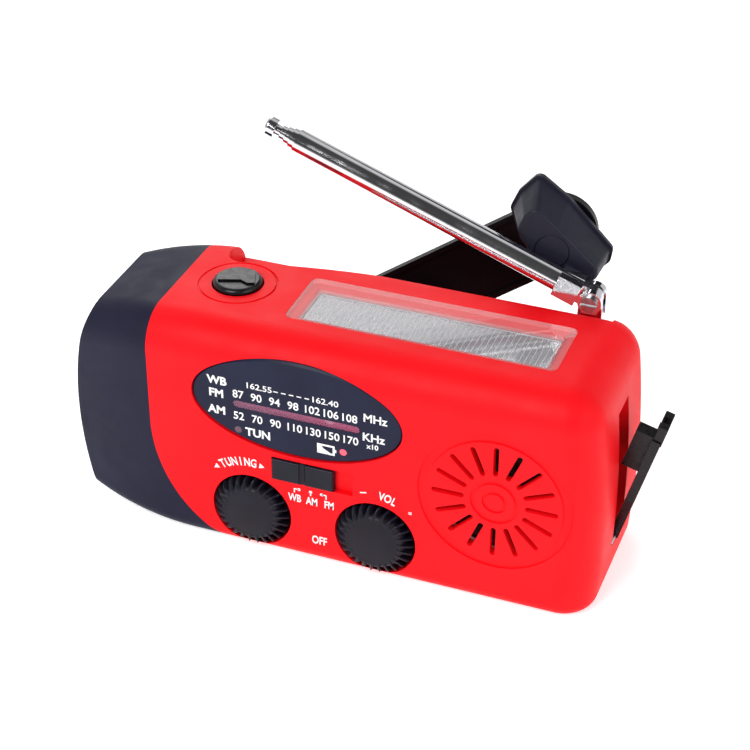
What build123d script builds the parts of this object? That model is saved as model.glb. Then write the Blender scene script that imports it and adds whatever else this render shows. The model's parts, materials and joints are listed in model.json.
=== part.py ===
from build123d import *
import math
import os

# Hand-crank emergency radio with torch, solar cell and telescopic aerial.
# Millimetres. X runs along the body (torch at -X, tail at +X), the dial faces -Y, +Z is up,
# and the origin is the middle of the flat base.

# ---- body ----
tail_x = 62.0            # furthest point of the bulged tail face
head_x = -71.5           # furthest point of the torch rim
body_depth = 45.0
body_height = 60.0
wall = 2.0
tail_edge_radius = 8.5  # upright edges of the tail
top_edge_radius = 9.0
base_edge_radius = 3.5
tail_lean_base = 1.1     # how far the tail face falls back at the base
tail_lean_top = 2.7      # and at the top
tail_bulge_z = 26.0
taper_start_x = -39.0    # where top and sides start to curve in towards the torch
rim_top_drop = 4.5
rim_base_rise = 3.5
rim_corner_back = 5.0    # how far the rim's corners fall back from its middle
plan_pinch = 7.0         # how far each side curves in, at pinch_x
pinch_x = -76.0
split_y = 15.5           # parting plane of the two shells

# ---- seam between body and torch head ----
seam_x = -49.5
seam_bend_z = 31.0
seam_radius = 34.0

# ---- torch ----
lens_recess = 0.7
lens_width = 24.0
lens_height = 38.0
lens_corner = 11.0
lens_z = 29.5
led_pitch = 11.0
led_count = 3
led_radius = 2.5
cup_mouth = 5.0
reflector_depth = 9.0
board_thickness = 1.4

# ---- top: solar window and torch button ----
solar_x = (-19.1, 47.0)
solar_y = (-10.3, 9.0)
solar_corner = 2.0
cover_thickness = 1.4
cover_gap = 0.1
cell_margin = 2.8
cell_thickness = 1.4
cell_drop = 3.6          # top of the cell's seat below the body's top
button_x = -35.1
button_radius = 6.0
button_gap = 0.3
button_proud = 1.3
button_ring_radius = 9.4

# ---- dial ----
dial_x = -11.35
dial_z = 42.67
dial_half_width = 26.5
dial_half_height = 13.0
dial_sink = 0.4
dial_thickness = 1.6
strip_x = (-27.3, 4.5)
strip_z = 41.15
strip_height = 1.9
pointer_x = -3.4
pointer_width = 2.2
lamp_radius = 0.9
lamp_spots = ((-26.2, 33.9), (0.4, 34.0))

# ---- knobs ----
tuning_x = -23.2
volume_x = 8.5
knob_z = 11.2
dish_radius = 10.2
dish_floor_y = -18.9
knob_base_radius = 9.4
knob_face_radius = 6.6
knob_face_y = -24.2
knob_base_y = -21.9
knob_back_y = -19.3
knob_teeth = 24
shaft_radius = 1.5
run_gap = 0.05           # running fit, on the radius

# ---- band switch ----
slot_x = (-17.7, 2.9)
slot_z = (22.2, 28.5)
slider_length = 15.6
slider_gap = 0.2
slider_face_y = -23.2
slot_recess = 1.3         # depth of the slider's track
stem_width = 3.0
stem_height = 2.0
stem_end_y = -18.6
finger_groove = 0.9

# ---- speaker ----
speaker_x = 37.5
speaker_z = 29.7
speaker_radius = 16.0
speaker_depth = 8.0
grille_slots = 16
grille_inner = 7.3
grille_outer = 15.2
grille_width = 1.3
ring_inner = 16.3
ring_outer = 18.6
ring_depth = 0.4

# ---- gears ----
pressure = math.radians(20)
addendum = 0.7           # in modules, short teeth for the small pinions
dedendum = 0.95
backlash = 0.14
dial_module = 1.0
dial_teeth = 16
dial_gear_y = (-15.9, -13.6)
crank_module = 0.8
drive_teeth = 40
pinion_teeth = 12
wheel_teeth = 32
drive_gear_y = (16.2, 18.2)
wheel_y = (13.0, 15.2)
gear_plate_y = (10.6, 12.2)
compound_angle = 8.0     # degrees, from the hub up to the compound gear

# ---- crank ----
hub_x = -22.0
hub_z = 33.0
crank_lift = 33.0        # degrees, the arm's slope above level
crank_tilt = 9.5         # degrees, how far the arm stands out from the back
crank_reach = 67.0
arm_width = 17.6
arm_thickness = 3.2
arm_rim = 1.3            # raised edge around the arm's inner face
arm_sink = 0.9
arm_end_radius = 9.4
hinge_out = 3.5          # the fold hinge outside the back face
hinge_pin_radius = 1.0
hub_radius = 11.6
ear_thickness = 1.8
ear_gap = 0.25
crank_shaft_radius = 2.5
knob_pin_radius = 2.2
grip_turn = 12.8         # degrees, the grip's tip leaning towards the hub
# corners of the grip about its pin: (up the grip, across it away from the hub)
grip_foot = ((14.7, 7.4), (5.0, 8.7), (-11.0, 8.2), (-13.0, 5.5), (-12.8, -5.0),
             (-9.0, -8.2), (5.0, -7.6), (12.7, -3.9), (14.4, 0.5))
grip_face = ((10.7, 4.3), (3.5, 5.0), (-9.8, 5.6), (-11.8, 3.9), (-11.8, -3.0),
             (-9.7, -4.1), (4.0, -4.0), (9.3, -2.5), (10.7, 0.8))
grip_corner = 1.9
grip_edge = 0.9
grip_cap_radius = 4.25
grip_depth = 11.5
grip_flange = 1.8
grip_gap = 0.4
pocket_gap = 1.3

# ---- aerial ----
groove_floor_z = 53.5
groove_x = (-43.0, 53.0)
scoop_y = 9.2
aerial_x = 47.0
aerial_y = 19.0
aerial_z = 62.9
aerial_tilt = 20.4       # degrees above level
tube_radii = (2.90, 2.50, 2.10, 1.70, 1.30)
tube_wall = 0.35
tube_start = 9.0
first_tube_end = 79.0
tube_step = 1.4          # each section shows this much beyond the last
tip_radius = 2.4
tip_length = 2.7
post_radius = 2.2
neck_radius = 1.6        # where the post passes through the groove's floor
tongue_width = 2.6
fork_width = 6.0
fork_radius = 2.9
fork_sweep = 3.5         # the fork's corners stay inside this as it swivels

# ---- tail ----
slot_y = (-5.0, 3.6)
tail_slot_z = (10.6, 48.4)
slot_floor_x = 57.6
flap_pivot_x = 61.4
flap_pivot_z = 12.4
flap_length = 31.5
flap_width = 8.0
flap_foot_width = 3.4
flap_thickness = 2.2
flap_open = 15.5         # degrees
prong_length = 4.0
plug_z = 38.0            # middle of the large port
plug_height = 10.6
plug_width = 3.8
plug_depth = 4.2
port_height = 13.1
port_width = 5.7
small_port_z = 20.0
small_port_height = 8.0
small_port_width = 3.0

# ---- insides ----
board_y = (-12.5, -11.1)
board_x = (-37.0, 15.0)
board_z = (3.0, 26.5)
cell_radius = 9.0
battery_x = (-17.0, 33.0)
battery_y = 5.5
battery_z = 12.2
rod_radius = 4.0
rod_x = (-24.0, 26.0)
rod_y_mid = -2.0
rod_z_mid = 49.8
screw_spots = ((-40.8, 14.5), (56.0, 8.0), (30.5, 48.3), (-42.2, 44.0))
boss_radius = 3.0
boss_meet_y = 5.4
screw_radius = 1.1
screw_head_radius = 2.1
screw_head_y = 8.0

front_y = -body_depth / 2
back_y = body_depth / 2
seam_centre_x = seam_x + seam_radius


def box(x0, x1, y0, y1, z0, z1):
    middle = Pos((x0 + x1) / 2, (y0 + y1) / 2, (z0 + z1) / 2)
    return middle * Box(x1 - x0, y1 - y0, z1 - z0)


def rod_up(x, y, radius, z0, z1):
    return Pos(x, y, (z0 + z1) / 2) * Cylinder(radius, z1 - z0)


def rod_deep(x, z, radius, y0, y1):
    return Pos(x, (y0 + y1) / 2, z) * Rot(90, 0, 0) * Cylinder(radius, y1 - y0)


def rod_along(y, z, radius, x0, x1):
    return Pos((x0 + x1) / 2, y, z) * Rot(0, 90, 0) * Cylinder(radius, x1 - x0)


def from_front(face, y0, y1):
    """A face drawn in X and Z, as seen from the front, made solid from y0 to y1."""
    plane = Plane(origin=(0, y1, 0), x_dir=(1, 0, 0), z_dir=(0, -1, 0))
    return extrude(plane * face, amount=y1 - y0)


def from_top(face, z0, z1):
    return extrude(Pos(0, 0, z0) * face, amount=z1 - z0)


def from_end(face, x0, x1):
    """A face drawn in Y and Z, made solid from x0 to x1."""
    plane = Plane(origin=(x0, 0, 0), x_dir=(0, 1, 0), z_dir=(1, 0, 0))
    return extrude(plane * face, amount=x1 - x0)


def front_outline():
    base_right = (tail_x - tail_lean_base, 0)
    top_right = (tail_x - tail_lean_top, body_height)
    rim_base = (head_x + rim_corner_back - 1.0, rim_base_rise)
    rim_top = (head_x + rim_corner_back, body_height - rim_top_drop)
    level = (-1, 0)
    return make_face([
        Line(base_right, (taper_start_x, 0)),
        TangentArc((taper_start_x, 0), rim_base, tangent=level),
        ThreePointArc(rim_base, (head_x, body_height / 2 - 2), rim_top),
        TangentArc((taper_start_x, body_height), rim_top, tangent=level),
        Line((taper_start_x, body_height), top_right),
        ThreePointArc(top_right, (tail_x, tail_bulge_z), base_right),
    ])


def plan_outline():
    beyond = tail_x + 2
    near = (pinch_x, front_y + plan_pinch)
    far = (pinch_x, back_y - plan_pinch)
    level = (-1, 0)
    return make_face([
        Line((beyond, front_y), (taper_start_x, front_y)),
        TangentArc((taper_start_x, front_y), near, tangent=level),
        Line(near, far),
        TangentArc((taper_start_x, back_y), far, tangent=level),
        Line((taper_start_x, back_y), (beyond, back_y)),
        Line((beyond, back_y), (beyond, front_y)),
    ])


def hull(inset):
    """The whole outer form, or the same form drawn in by inset."""
    front = front_outline()
    plan = plan_outline()
    if inset:
        front = offset(front, amount=-inset)
        plan = offset(plan, amount=-inset)
    form = from_front(front, -body_depth, body_depth) & from_top(plan, -5, body_height + 5)
    upright = [e for e in form.edges()
               if e.center().X > tail_x - 10 and abs(e.center().Y) > body_depth / 4]
    upright = [e for e in upright if e.length > body_height / 2]
    form = fillet(upright, tail_edge_radius - inset)

    def beside(edge):
        return abs(edge.center().Y) > body_depth / 5 or edge.center().X > tail_x - 12
    top = [e for e in form.edges() if e.center().Z > body_height * 0.85 and beside(e)]
    form = fillet(top, top_edge_radius - inset)
    base = [e for e in form.edges() if e.center().Z < body_height * 0.1 and beside(e)]
    return fillet(base, base_edge_radius - inset)


def head_zone():
    """Everything on the torch side of the seam, which bends back under the body."""
    low_z = seam_bend_z - seam_radius
    low = (seam_centre_x, low_z)
    far_x = head_x - 10
    outline = make_face([
        Line((seam_x, body_height + 5), (seam_x, seam_bend_z)),
        ThreePointArc((seam_x, seam_bend_z),
                      (seam_centre_x - seam_radius * math.sqrt(0.5),
                       seam_bend_z - seam_radius * math.sqrt(0.5)), low),
        Line(low, (far_x, low_z)),
        Line((far_x, low_z), (far_x, body_height + 5)),
        Line((far_x, body_height + 5), (seam_x, body_height + 5)),
    ])
    return from_front(outline, -body_depth, body_depth)


def rounded(width, height, radius, x=0.0, y=0.0):
    return Pos(x, y) * RectangleRounded(width, height, radius)


def groove_plan():
    """The aerial's groove seen from above, with its finger scoop at the torch end."""
    x0, x1 = groove_x
    beyond = back_y + 6
    return make_face([
        Line((x1, beyond), (x1, split_y)),
        Line((x1, split_y), (-4, split_y)),
        ThreePointArc((-4, split_y), (-24, scoop_y + 3.2), (x0 + 4, scoop_y)),
        ThreePointArc((x0 + 4, scoop_y), (x0 + 0.8, scoop_y + 1.6), (x0, scoop_y + 5)),
        Line((x0, scoop_y + 5), (x0, beyond)),
        Line((x0, beyond), (x1, beyond)),
    ])


def gear_points(teeth, module, turn):
    """Involute teeth with straight chords inside the curve; turn is the first tooth's angle."""
    pitch = teeth * module / 2
    base = pitch * math.cos(pressure)
    tip = pitch + addendum * module
    root = pitch - dedendum * module
    start = max(base, root)
    at_pitch = math.pi / (2 * teeth) - backlash / (4 * pitch)
    roll = math.tan(pressure) - pressure

    def half_angle(radius):
        lean = math.acos(min(1.0, base / radius))
        return at_pitch + roll - (math.tan(lean) - lean)
    radii = [start, (start + tip) / 2, tip]
    if root < base:
        radii = [root] + radii
    points = []
    for tooth in range(teeth):
        middle = turn + 2 * math.pi * tooth / teeth
        rise = [(r, middle - half_angle(max(r, base))) for r in radii]
        fall = [(r, middle + half_angle(max(r, base))) for r in reversed(radii)]
        points += [(r * math.cos(a), r * math.sin(a)) for r, a in rise + fall]
    return points


def gear(teeth, module, turn, x, z, y0, y1):
    outline = make_face(Polyline(*gear_points(teeth, module, turn), close=True))
    return from_front(Pos(x, z) * outline, y0, y1)


def meshed_turn(driver_teeth, driver_turn, teeth, direction):
    """First-tooth angle of a gear that meshes with a driver lying behind direction."""
    share = (direction - driver_turn) / (2 * math.pi / driver_teeth)
    return direction + math.pi - (0.5 - share) * 2 * math.pi / teeth


def tail_cup(grow):
    """The recess in the tail that the flap lies in, grown by the wall for its cup."""
    y0, y1 = slot_y
    z0, z1 = tail_slot_z
    return box(slot_floor_x - grow, tail_x + 4, y0 - grow, y1 + grow, z0 - grow, z1 + grow)


def grip_outline(corners, grow=0.0):
    shape = make_face(Polyline(*corners, close=True))
    shape = fillet(shape.vertices(), grip_corner)
    if grow:
        shape = offset(shape, amount=grow)
    return shape


def grip_pocket(grow):
    """The hollow in the back where the grip rests, long end down, when the crank is folded flat."""
    corners = [(up, -across_grip) for up, across_grip in grip_foot]
    outline = Pos(hub_x + crank_reach, hub_z) * Rot(0, 0, -90) * grip_outline(corners, pocket_gap + grow)
    floor_y = back_y + hinge_out - arm_thickness / 2 - grip_gap - grip_depth - 0.6
    return from_front(outline, floor_y - grow, back_y + 5)


def screw_bosses(y0, y1):
    bosses = Part()
    for x, z in screw_spots:
        bosses += rod_deep(x, z, boss_radius, y0, y1)
    return bosses - head_zone()


def front_shell(skin, outer):
    shell = skin - box(-100, 100, split_y, 40, -10, 80)
    x0, x1 = solar_x
    y0, y1 = solar_y
    mid_x = (x0 + x1) / 2
    mid_y = (y0 + y1) / 2
    seat_z = body_height - cover_thickness
    well = rounded(x1 - x0 + 3, y1 - y0 + 3, solar_corner + 1.5, mid_x, mid_y)
    shell += from_top(well, body_height - 5.2, seat_z)
    grooves = offset(groove_plan(), amount=wall)
    tray = from_top(grooves, groove_floor_z - wall, body_height + 2) & outer
    shell += tray - box(-100, 100, split_y, 40, 0, 80)
    for x in (tuning_x, volume_x):
        cup = rod_deep(x, knob_z, dish_radius + 1.2, front_y + 0.5, dish_floor_y + 1.2)
        shell += cup & outer
    shell += (tail_cup(1.6) & outer)
    shell += screw_bosses(front_y + 1, boss_meet_y) & outer
    shell += rod_up(button_x, 0, button_radius + 2.4, body_height - wall - 2.2, body_height - 1) & outer
    # openings
    shell -= from_top(rounded(x1 - x0, y1 - y0, solar_corner, mid_x, mid_y), seat_z, 70)
    seat = rounded(x1 - x0 - 2 * cell_margin, y1 - y0 - 2 * cell_margin, 0.6, mid_x, mid_y)
    shell -= from_top(seat, body_height - cell_drop, 70)
    shell -= rod_up(x0 + 6, mid_y, 1.0, 50, 70)
    shell -= from_top(groove_plan(), groove_floor_z, 80)
    dial = Pos(dial_x, dial_z) * Ellipse(dial_half_width, dial_half_height)
    shell -= from_front(dial, -40, front_y + wall + 0.1)
    for x in (tuning_x, volume_x):
        shell -= rod_deep(x, knob_z, dish_radius, -40, dish_floor_y)
        shell -= rod_deep(x, knob_z, shaft_radius + 0.3, -40, -10)
    shell -= box(slot_x[0], slot_x[1], -40, front_y + slot_recess, slot_z[0], slot_z[1])
    stem_x = slot_x[0] + slider_gap + slider_length / 2
    stem_z = (slot_z[0] + slot_z[1]) / 2
    stem_half = stem_width / 2 + slider_gap
    shell -= box(stem_x - stem_half, stem_x + slider_travel() + stem_half, -40, front_y + wall + 0.1,
                 stem_z - stem_height / 2 - slider_gap, stem_z + stem_height / 2 + slider_gap)
    shell -= rod_deep(speaker_x, speaker_z, speaker_radius + 0.2, front_y + wall, front_y + wall + speaker_depth)
    for index in range(grille_slots):
        reach = (grille_inner + grille_outer) / 2
        bar = Pos(reach, 0) * SlotOverall(grille_outer - grille_inner, grille_width)
        turned = Pos(speaker_x, speaker_z) * Rot(0, 0, index * 360 / grille_slots) * bar
        shell -= from_front(turned, -40, front_y + wall + 0.5)
    rings = [(ring_inner, ring_outer), (4.9, 5.9), (2.2, 3.0)]
    ring_skin = outer - hull(ring_depth)
    for inner, outside in rings:
        band = Circle(outside) - Circle(inner)
        shell -= from_front(Pos(speaker_x, speaker_z) * band, -40, -10) & ring_skin
    ring = Circle(button_ring_radius + 0.3) - Circle(button_ring_radius - 0.3)
    shell -= from_top(Pos(button_x, 0) * ring, body_height - 0.45, 80)
    shell -= rod_up(button_x, 0, button_radius + button_gap, 40, 80)
    shell -= rod_up(button_x, 0, button_radius + 1.6, body_height - 6, body_height - wall - 0.6)
    shell -= tail_cup(0)
    shell -= box(50, 60, slot_mid_y() - port_width / 2, slot_mid_y() + port_width / 2,
                 plug_z - port_height / 2, plug_z + port_height / 2)
    shell -= box(50, 60, slot_mid_y() - small_port_width / 2, slot_mid_y() + small_port_width / 2,
                 small_port_z - small_port_height / 2, small_port_z + small_port_height / 2)
    shell -= box(flap_pivot_x - 0.7, flap_pivot_x + 0.7, slot_y[0] - 1.2, slot_y[1] + 1.2,
                 flap_pivot_z - 0.7, flap_pivot_z + 0.7)
    for x, z in screw_spots:
        shell -= rod_deep(x, z, screw_radius, -6, 30)
    return shell


def slot_mid_y():
    return (slot_y[0] + slot_y[1]) / 2


def rear_shell(skin, outer, inner):
    shell = skin & box(-100, 100, split_y, 40, -10, 80)
    grooves = offset(groove_plan(), amount=wall)
    tray = from_top(grooves, groove_floor_z - wall, body_height + 2) & outer
    shell += tray & box(-100, 100, split_y, 40, 0, 80)
    shell += grip_pocket(1.2) & outer
    shell += screw_bosses(boss_meet_y, split_y) & inner
    shell += screw_bosses(split_y, back_y - 1) & outer
    shell += rod_deep(hub_x, hub_z, crank_shaft_radius + 2.6, drive_gear_y[1] + 0.4, back_y - 1)
    cx, cz = compound_place()
    shell += rod_deep(cx, cz, 3.2, drive_gear_y[1] + 0.4, back_y - 1)
    shell -= from_top(groove_plan(), groove_floor_z, 80)
    shell -= grip_pocket(0)
    shell -= rod_up(aerial_x, aerial_y, neck_radius + run_gap, 45, 60)
    shell -= rod_up(aerial_x, aerial_y, 2.75, 49.0, groove_floor_z - wall)
    shell -= rod_deep(hub_x, hub_z, crank_shaft_radius + run_gap, 10, 30)
    shell -= rod_deep(cx, cz, 1.2 + run_gap, 10, back_y - 1.2)
    for x, z in screw_spots:
        shell -= rod_deep(x, z, screw_radius + 0.1, 0, 30)
        shell -= rod_deep(x, z, screw_head_radius + 0.2, screw_head_y, 40)
    return shell


def lens_zone():
    outline = rounded(lens_width, lens_height, lens_corner, 0, lens_z)
    return from_end(outline, head_x - 5, head_x + 12)


def torch_head():
    head = (hull(0) - hull(wall + 0.2)) & head_zone()
    return head - lens_zone()


def torch_lens():
    sheet = hull(lens_recess) - hull(wall + 0.2)
    return sheet & lens_zone()


def led_heights():
    return [lens_z + (i - (led_count - 1) / 2) * led_pitch for i in range(led_count)]


def torch_reflector():
    x1 = head_x + 3 + reflector_depth
    block = from_end(rounded(lens_width + 3, lens_height + 3, lens_corner + 1, 0, lens_z), head_x, x1)
    block = block & hull(wall + 0.2)
    for z in led_heights():
        mouth_x = head_x + 1
        cone = Pos((mouth_x + x1 - 1) / 2, 0, z) * Rot(0, 90, 0) * Cone(cup_mouth, led_radius + 0.2,
                                                                        x1 - 1 - mouth_x)
        block -= cone
        block -= rod_along(0, z, led_radius + 0.2, x1 - 3, x1 + 1)
    return block


def torch_leds():
    x1 = head_x + 3 + reflector_depth
    lamps = Part()
    for z in led_heights():
        lamp = rod_along(0, z, led_radius - 0.1, x1 - 4, x1)
        lamp += Pos(x1 - 4, 0, z) * Sphere(led_radius - 0.1)
        lamps += lamp
    return lamps


def led_board():
    x0 = head_x + 3 + reflector_depth
    return from_end(rounded(18, 34, 2, 0, lens_z), x0, x0 + board_thickness)


def solar_cover():
    x0, x1 = solar_x
    y0, y1 = solar_y
    plate = rounded(x1 - x0 - 2 * cover_gap, y1 - y0 - 2 * cover_gap, solar_corner - cover_gap,
                    (x0 + x1) / 2, (y0 + y1) / 2)
    return from_top(plate, body_height - cover_thickness, body_height)


def solar_cell():
    x0, x1 = solar_x
    y0, y1 = solar_y
    margin = cell_margin + 0.2
    low = body_height - cell_drop
    return box(x0 + margin, x1 - margin, y0 + margin, y1 - margin, low, low + cell_thickness)


def torch_button():
    top = body_height + button_proud
    stem_low = 52.2
    cap = rod_up(button_x, 0, button_radius, body_height - wall - 1.2, top)
    cap = fillet(cap.edges().group_by(Axis.Z)[-1], 1.1)
    flange = rod_up(button_x, 0, button_radius + 1.0, body_height - wall - 2.4, body_height - wall - 1.2)
    stem = rod_up(button_x, 0, 1.6, stem_low, body_height - wall - 2.4)
    return cap + flange + stem


def torch_switch():
    low = 46.0
    body = box(button_x - 3, button_x + 3, -3, 3, low, low + 3.4)
    return body + rod_up(button_x, 0, 1.7, low + 3.4, 50.9)


def switch_board():
    return box(button_x - 3.6, button_x + 9, -7, 7, 44.8, 46.0)


def dial_plate():
    face_y = front_y + dial_sink
    oval = Ellipse(dial_half_width - 0.05, dial_half_height - 0.05)
    plate = from_front(Pos(dial_x, dial_z) * oval, face_y, face_y + dial_thickness)
    plate = chamfer(plate.edges().group_by(Axis.Y)[0], 0.5)
    strip = Pos((strip_x[0] + strip_x[1]) / 2, strip_z) * SlotOverall(strip_x[1] - strip_x[0], strip_height)
    plate -= from_front(strip, -40, 0)
    for x, z in lamp_spots:
        plate -= rod_deep(x, z, lamp_radius, -40, 0)
    return plate


def dial_window():
    strip = Pos((strip_x[0] + strip_x[1]) / 2, strip_z) * SlotOverall(strip_x[1] - strip_x[0], strip_height)
    face_y = front_y + dial_sink + 0.1
    return from_front(strip, face_y, face_y + 0.9)


def indicator_lamps():
    lamps = Part()
    for x, z in lamp_spots:
        lamp = rod_deep(x, z, lamp_radius, front_y + dial_sink, front_y + dial_sink + dial_thickness)
        lamps += lamp + rod_deep(x, z, 1.5, front_y + dial_sink + dial_thickness, -18.3)
    return lamps


def knurled_knob(x):
    profile = make_face([
        Line((0, knob_back_y), (knob_base_radius, knob_back_y)),
        Line((knob_base_radius, knob_back_y), (knob_base_radius, knob_base_y)),
        ThreePointArc((knob_base_radius, knob_base_y),
                      ((knob_base_radius + knob_face_radius) / 2 + 0.45,
                       (knob_base_y + knob_face_y) / 2 - 0.25),
                      (knob_face_radius, knob_face_y)),
        Line((knob_face_radius, knob_face_y), (0, knob_face_y)),
        Line((0, knob_face_y), (0, knob_back_y)),
    ])
    knob = revolve(profile, Axis.Y)
    slope = math.degrees(math.atan2(knob_base_radius - knob_face_radius, knob_base_y - knob_face_y))
    groove = Pos(knob_base_radius - 0.9, knob_base_y - 1.0, 0) * Rot(0, 0, slope)
    groove = groove * Pos(0.85, 0, 0) * Rot(90, 0, 0) * Cylinder(0.62, 9)
    for index in range(knob_teeth):
        knob -= Rot(0, index * 360 / knob_teeth, 0) * groove
    knob -= rod_deep(0, 0, shaft_radius, knob_face_y + 1.5, 0)
    return Pos(x, 0, knob_z) * knob


def tuning_gear():
    y0, y1 = dial_gear_y
    wheel = gear(dial_teeth, dial_module, math.pi / 2, tuning_x, knob_z, y0, y1)
    return wheel + rod_deep(tuning_x, knob_z, shaft_radius, knob_face_y + 1.5, -8.0)


def rack_teeth(x0, x1):
    """A straight row of teeth pointing down, in mesh with the tuning gear."""
    pitch = math.pi * dial_module
    line_z = knob_z + dial_teeth * dial_module / 2
    first = tuning_x - pitch / 2
    half = pitch / 4 - backlash / 4
    lean = math.tan(pressure)
    tip = addendum * dial_module
    root = dedendum * dial_module
    teeth = Part()
    count = int((x1 - x0) / pitch)
    start = math.ceil((x0 - first) / pitch)
    for index in range(start, start + count):
        x = first + index * pitch
        outline = make_face(Polyline((x - half - root * lean, line_z + root),
                                     (x - half + tip * lean, line_z - tip),
                                     (x + half - tip * lean, line_z - tip),
                                     (x + half + root * lean, line_z + root), close=True))
        teeth += from_front(outline, *dial_gear_y)
    bar = box(first + start * pitch - half - 1, first + (start + count - 1) * pitch + half + 1,
              dial_gear_y[0], dial_gear_y[1], line_z + root - 0.01, line_z + root + 2.4)
    return teeth + bar


def dial_pointer():
    y0 = dial_gear_y[0]
    rack = rack_teeth(tuning_x - 9.0, tuning_x + 26.0)
    line_z = knob_z + dial_teeth * dial_module / 2
    arm = box(pointer_x - 1.5, pointer_x + 1.5, y0, y0 + 1.5, line_z + dedendum, strip_z + 1.0)
    needle = box(pointer_x - pointer_width / 2, pointer_x + pointer_width / 2,
                 front_y + dial_sink + dial_thickness + 0.25, y0 + 1.0, strip_z - 1.6, strip_z + 1.0)
    return rack + arm + needle


def pointer_guide():
    """A rail on the board that the rack hangs from and slides along."""
    top_z = knob_z + dial_teeth * dial_module / 2 + dedendum + 2.4
    y0, y1 = dial_gear_y
    rail = box(-34, 8, y0 + 1.7, board_y[0], top_z + 0.1, top_z + 1.6)
    back = box(-34, 8, y1 + 0.1, board_y[0], top_z - 3.0, top_z + 1.6)
    return rail + back


def tuning_capacitor():
    y1 = board_y[1]
    body = box(tuning_x - 8.5, tuning_x + 8.5, y1, y1 + 7.5, knob_z - 8.5, knob_z + 8.5)
    return body - rod_deep(tuning_x, knob_z, shaft_radius + run_gap, -20, -7.6)


def volume_shaft():
    return rod_deep(volume_x, knob_z, shaft_radius, knob_face_y + 1.5, -13.5)


def volume_pot():
    body = rod_deep(volume_x, knob_z, 6.8, dish_floor_y + 2.0, board_y[0])
    return body - rod_deep(volume_x, knob_z, shaft_radius + run_gap, -30, -13.4)


def band_slider():
    x0 = slot_x[0] + slider_gap
    mid_z = (slot_z[0] + slot_z[1]) / 2
    half = (slot_z[1] - slot_z[0]) / 2 - slider_gap
    x1 = x0 + slider_length
    back = front_y + slot_recess - 0.1
    cap = box(x0, x1, slider_face_y, back, mid_z - half, mid_z + half)
    mid_x = (x0 + x1) / 2
    cap = fillet(cap.edges().group_by(Axis.Y)[0], 0.5)
    cap -= rod_up(mid_x, slider_face_y - finger_groove / 3, finger_groove, mid_z - 5, mid_z + 5)
    stem = box(mid_x - stem_width / 2, mid_x + stem_width / 2, back, stem_end_y,
               mid_z - stem_height / 2, mid_z + stem_height / 2)
    return cap + stem


def band_switch():
    mid_z = (slot_z[0] + slot_z[1]) / 2
    mid_x = slot_x[0] + slider_gap + slider_length / 2
    travel = slider_travel()
    body = box(slot_x[0] - 1.5, slot_x[1] + 1.5, front_y + wall + 0.3, -16.6, mid_z - 3.2, mid_z + 4.6)
    return body - box(mid_x - 2.0, mid_x + travel + 2.0, -30, -18.2, mid_z - 1.4, mid_z + 1.4)


def slider_travel():
    return slot_x[1] - slot_x[0] - slider_length - 2 * slider_gap


def main_board():
    x0, x1 = board_x
    board = box(x0, x1, board_y[0], board_y[1], board_z[0], board_z[1])
    for x in (tuning_x, volume_x):
        board -= rod_deep(x, knob_z, shaft_radius + 0.4, -20, 0)
    for x, z in screw_spots:
        board -= rod_deep(x, z, boss_radius + 0.3, -20, 0)
    return board


def board_chips():
    """Radio chip, amplifier and charging chip on the back of the board."""
    y1 = board_y[1]
    chips = box(-8, 2, y1, y1 + 1.6, 15, 19)
    chips += box(-10, -4, y1, y1 + 1.4, 6, 10)
    chips += box(4, 9, y1, y1 + 1.4, 20, 24)
    return chips


def speaker_frame():
    y0 = front_y + wall
    ring = rod_deep(speaker_x, speaker_z, speaker_radius, y0, y0 + 2.0)
    dish = Pos(speaker_x, y0 + 4.5, speaker_z) * Rot(90, 0, 0) * Cone(9.5, speaker_radius - 1, 5)
    hollow = Pos(speaker_x, y0 + 4.5, speaker_z) * Rot(90, 0, 0) * Cone(8.5, speaker_radius - 2, 5)
    frame = ring + dish - hollow - rod_deep(speaker_x, speaker_z, speaker_radius - 2, y0 - 1, y0 + 2.0)
    return frame + (rod_deep(speaker_x, speaker_z, 9.5, y0 + 7, y0 + speaker_depth)
                    - rod_deep(speaker_x, speaker_z, 4, y0 + 6, y0 + 9))


def speaker_cone():
    y0 = front_y + wall
    outer = Pos(speaker_x, y0 + 3.4, speaker_z) * Rot(90, 0, 0) * Cone(4.0, speaker_radius - 2.2, 5.2)
    inner = Pos(speaker_x, y0 + 2.9, speaker_z) * Rot(90, 0, 0) * Cone(4.0, speaker_radius - 2.2, 5.2)
    return outer - inner + rod_deep(speaker_x, speaker_z, 3.6, y0 + 5.0, y0 + 6.0)


def speaker_magnet():
    y0 = front_y + wall + speaker_depth
    return rod_deep(speaker_x, speaker_z, 8.0, y0, y0 + 4.5)


def battery_cell():
    x0, x1 = battery_x
    can = rod_along(battery_y, battery_z, cell_radius, x0 + 1.2, x1)
    return can + rod_along(battery_y, battery_z, 2.8, x0, x0 + 1.2)


def battery_holder():
    x0, x1 = battery_x
    low = wall
    cradle = box(x0 - 1.4, x1 + 1.4, battery_y - 7, battery_y + 7, low, battery_z + 2)
    return cradle - rod_along(battery_y, battery_z, cell_radius, x0, x1)


def ferrite_rod():
    return rod_along(rod_y_mid, rod_z_mid, rod_radius, *rod_x)


def aerial_coil():
    x0 = rod_x[0] + 4
    coil = rod_along(rod_y_mid, rod_z_mid, rod_radius + 0.7, x0, x0 + 16)
    return coil - rod_along(rod_y_mid, rod_z_mid, rod_radius, x0 - 1, x0 + 17)


def compound_place():
    direction = math.radians(compound_angle)
    reach = (drive_teeth + pinion_teeth) * crank_module / 2
    return hub_x + reach * math.cos(direction), hub_z + reach * math.sin(direction)


def generator_place():
    cx, cz = compound_place()
    return cx + (wheel_teeth + pinion_teeth) * crank_module / 2, cz


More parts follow.
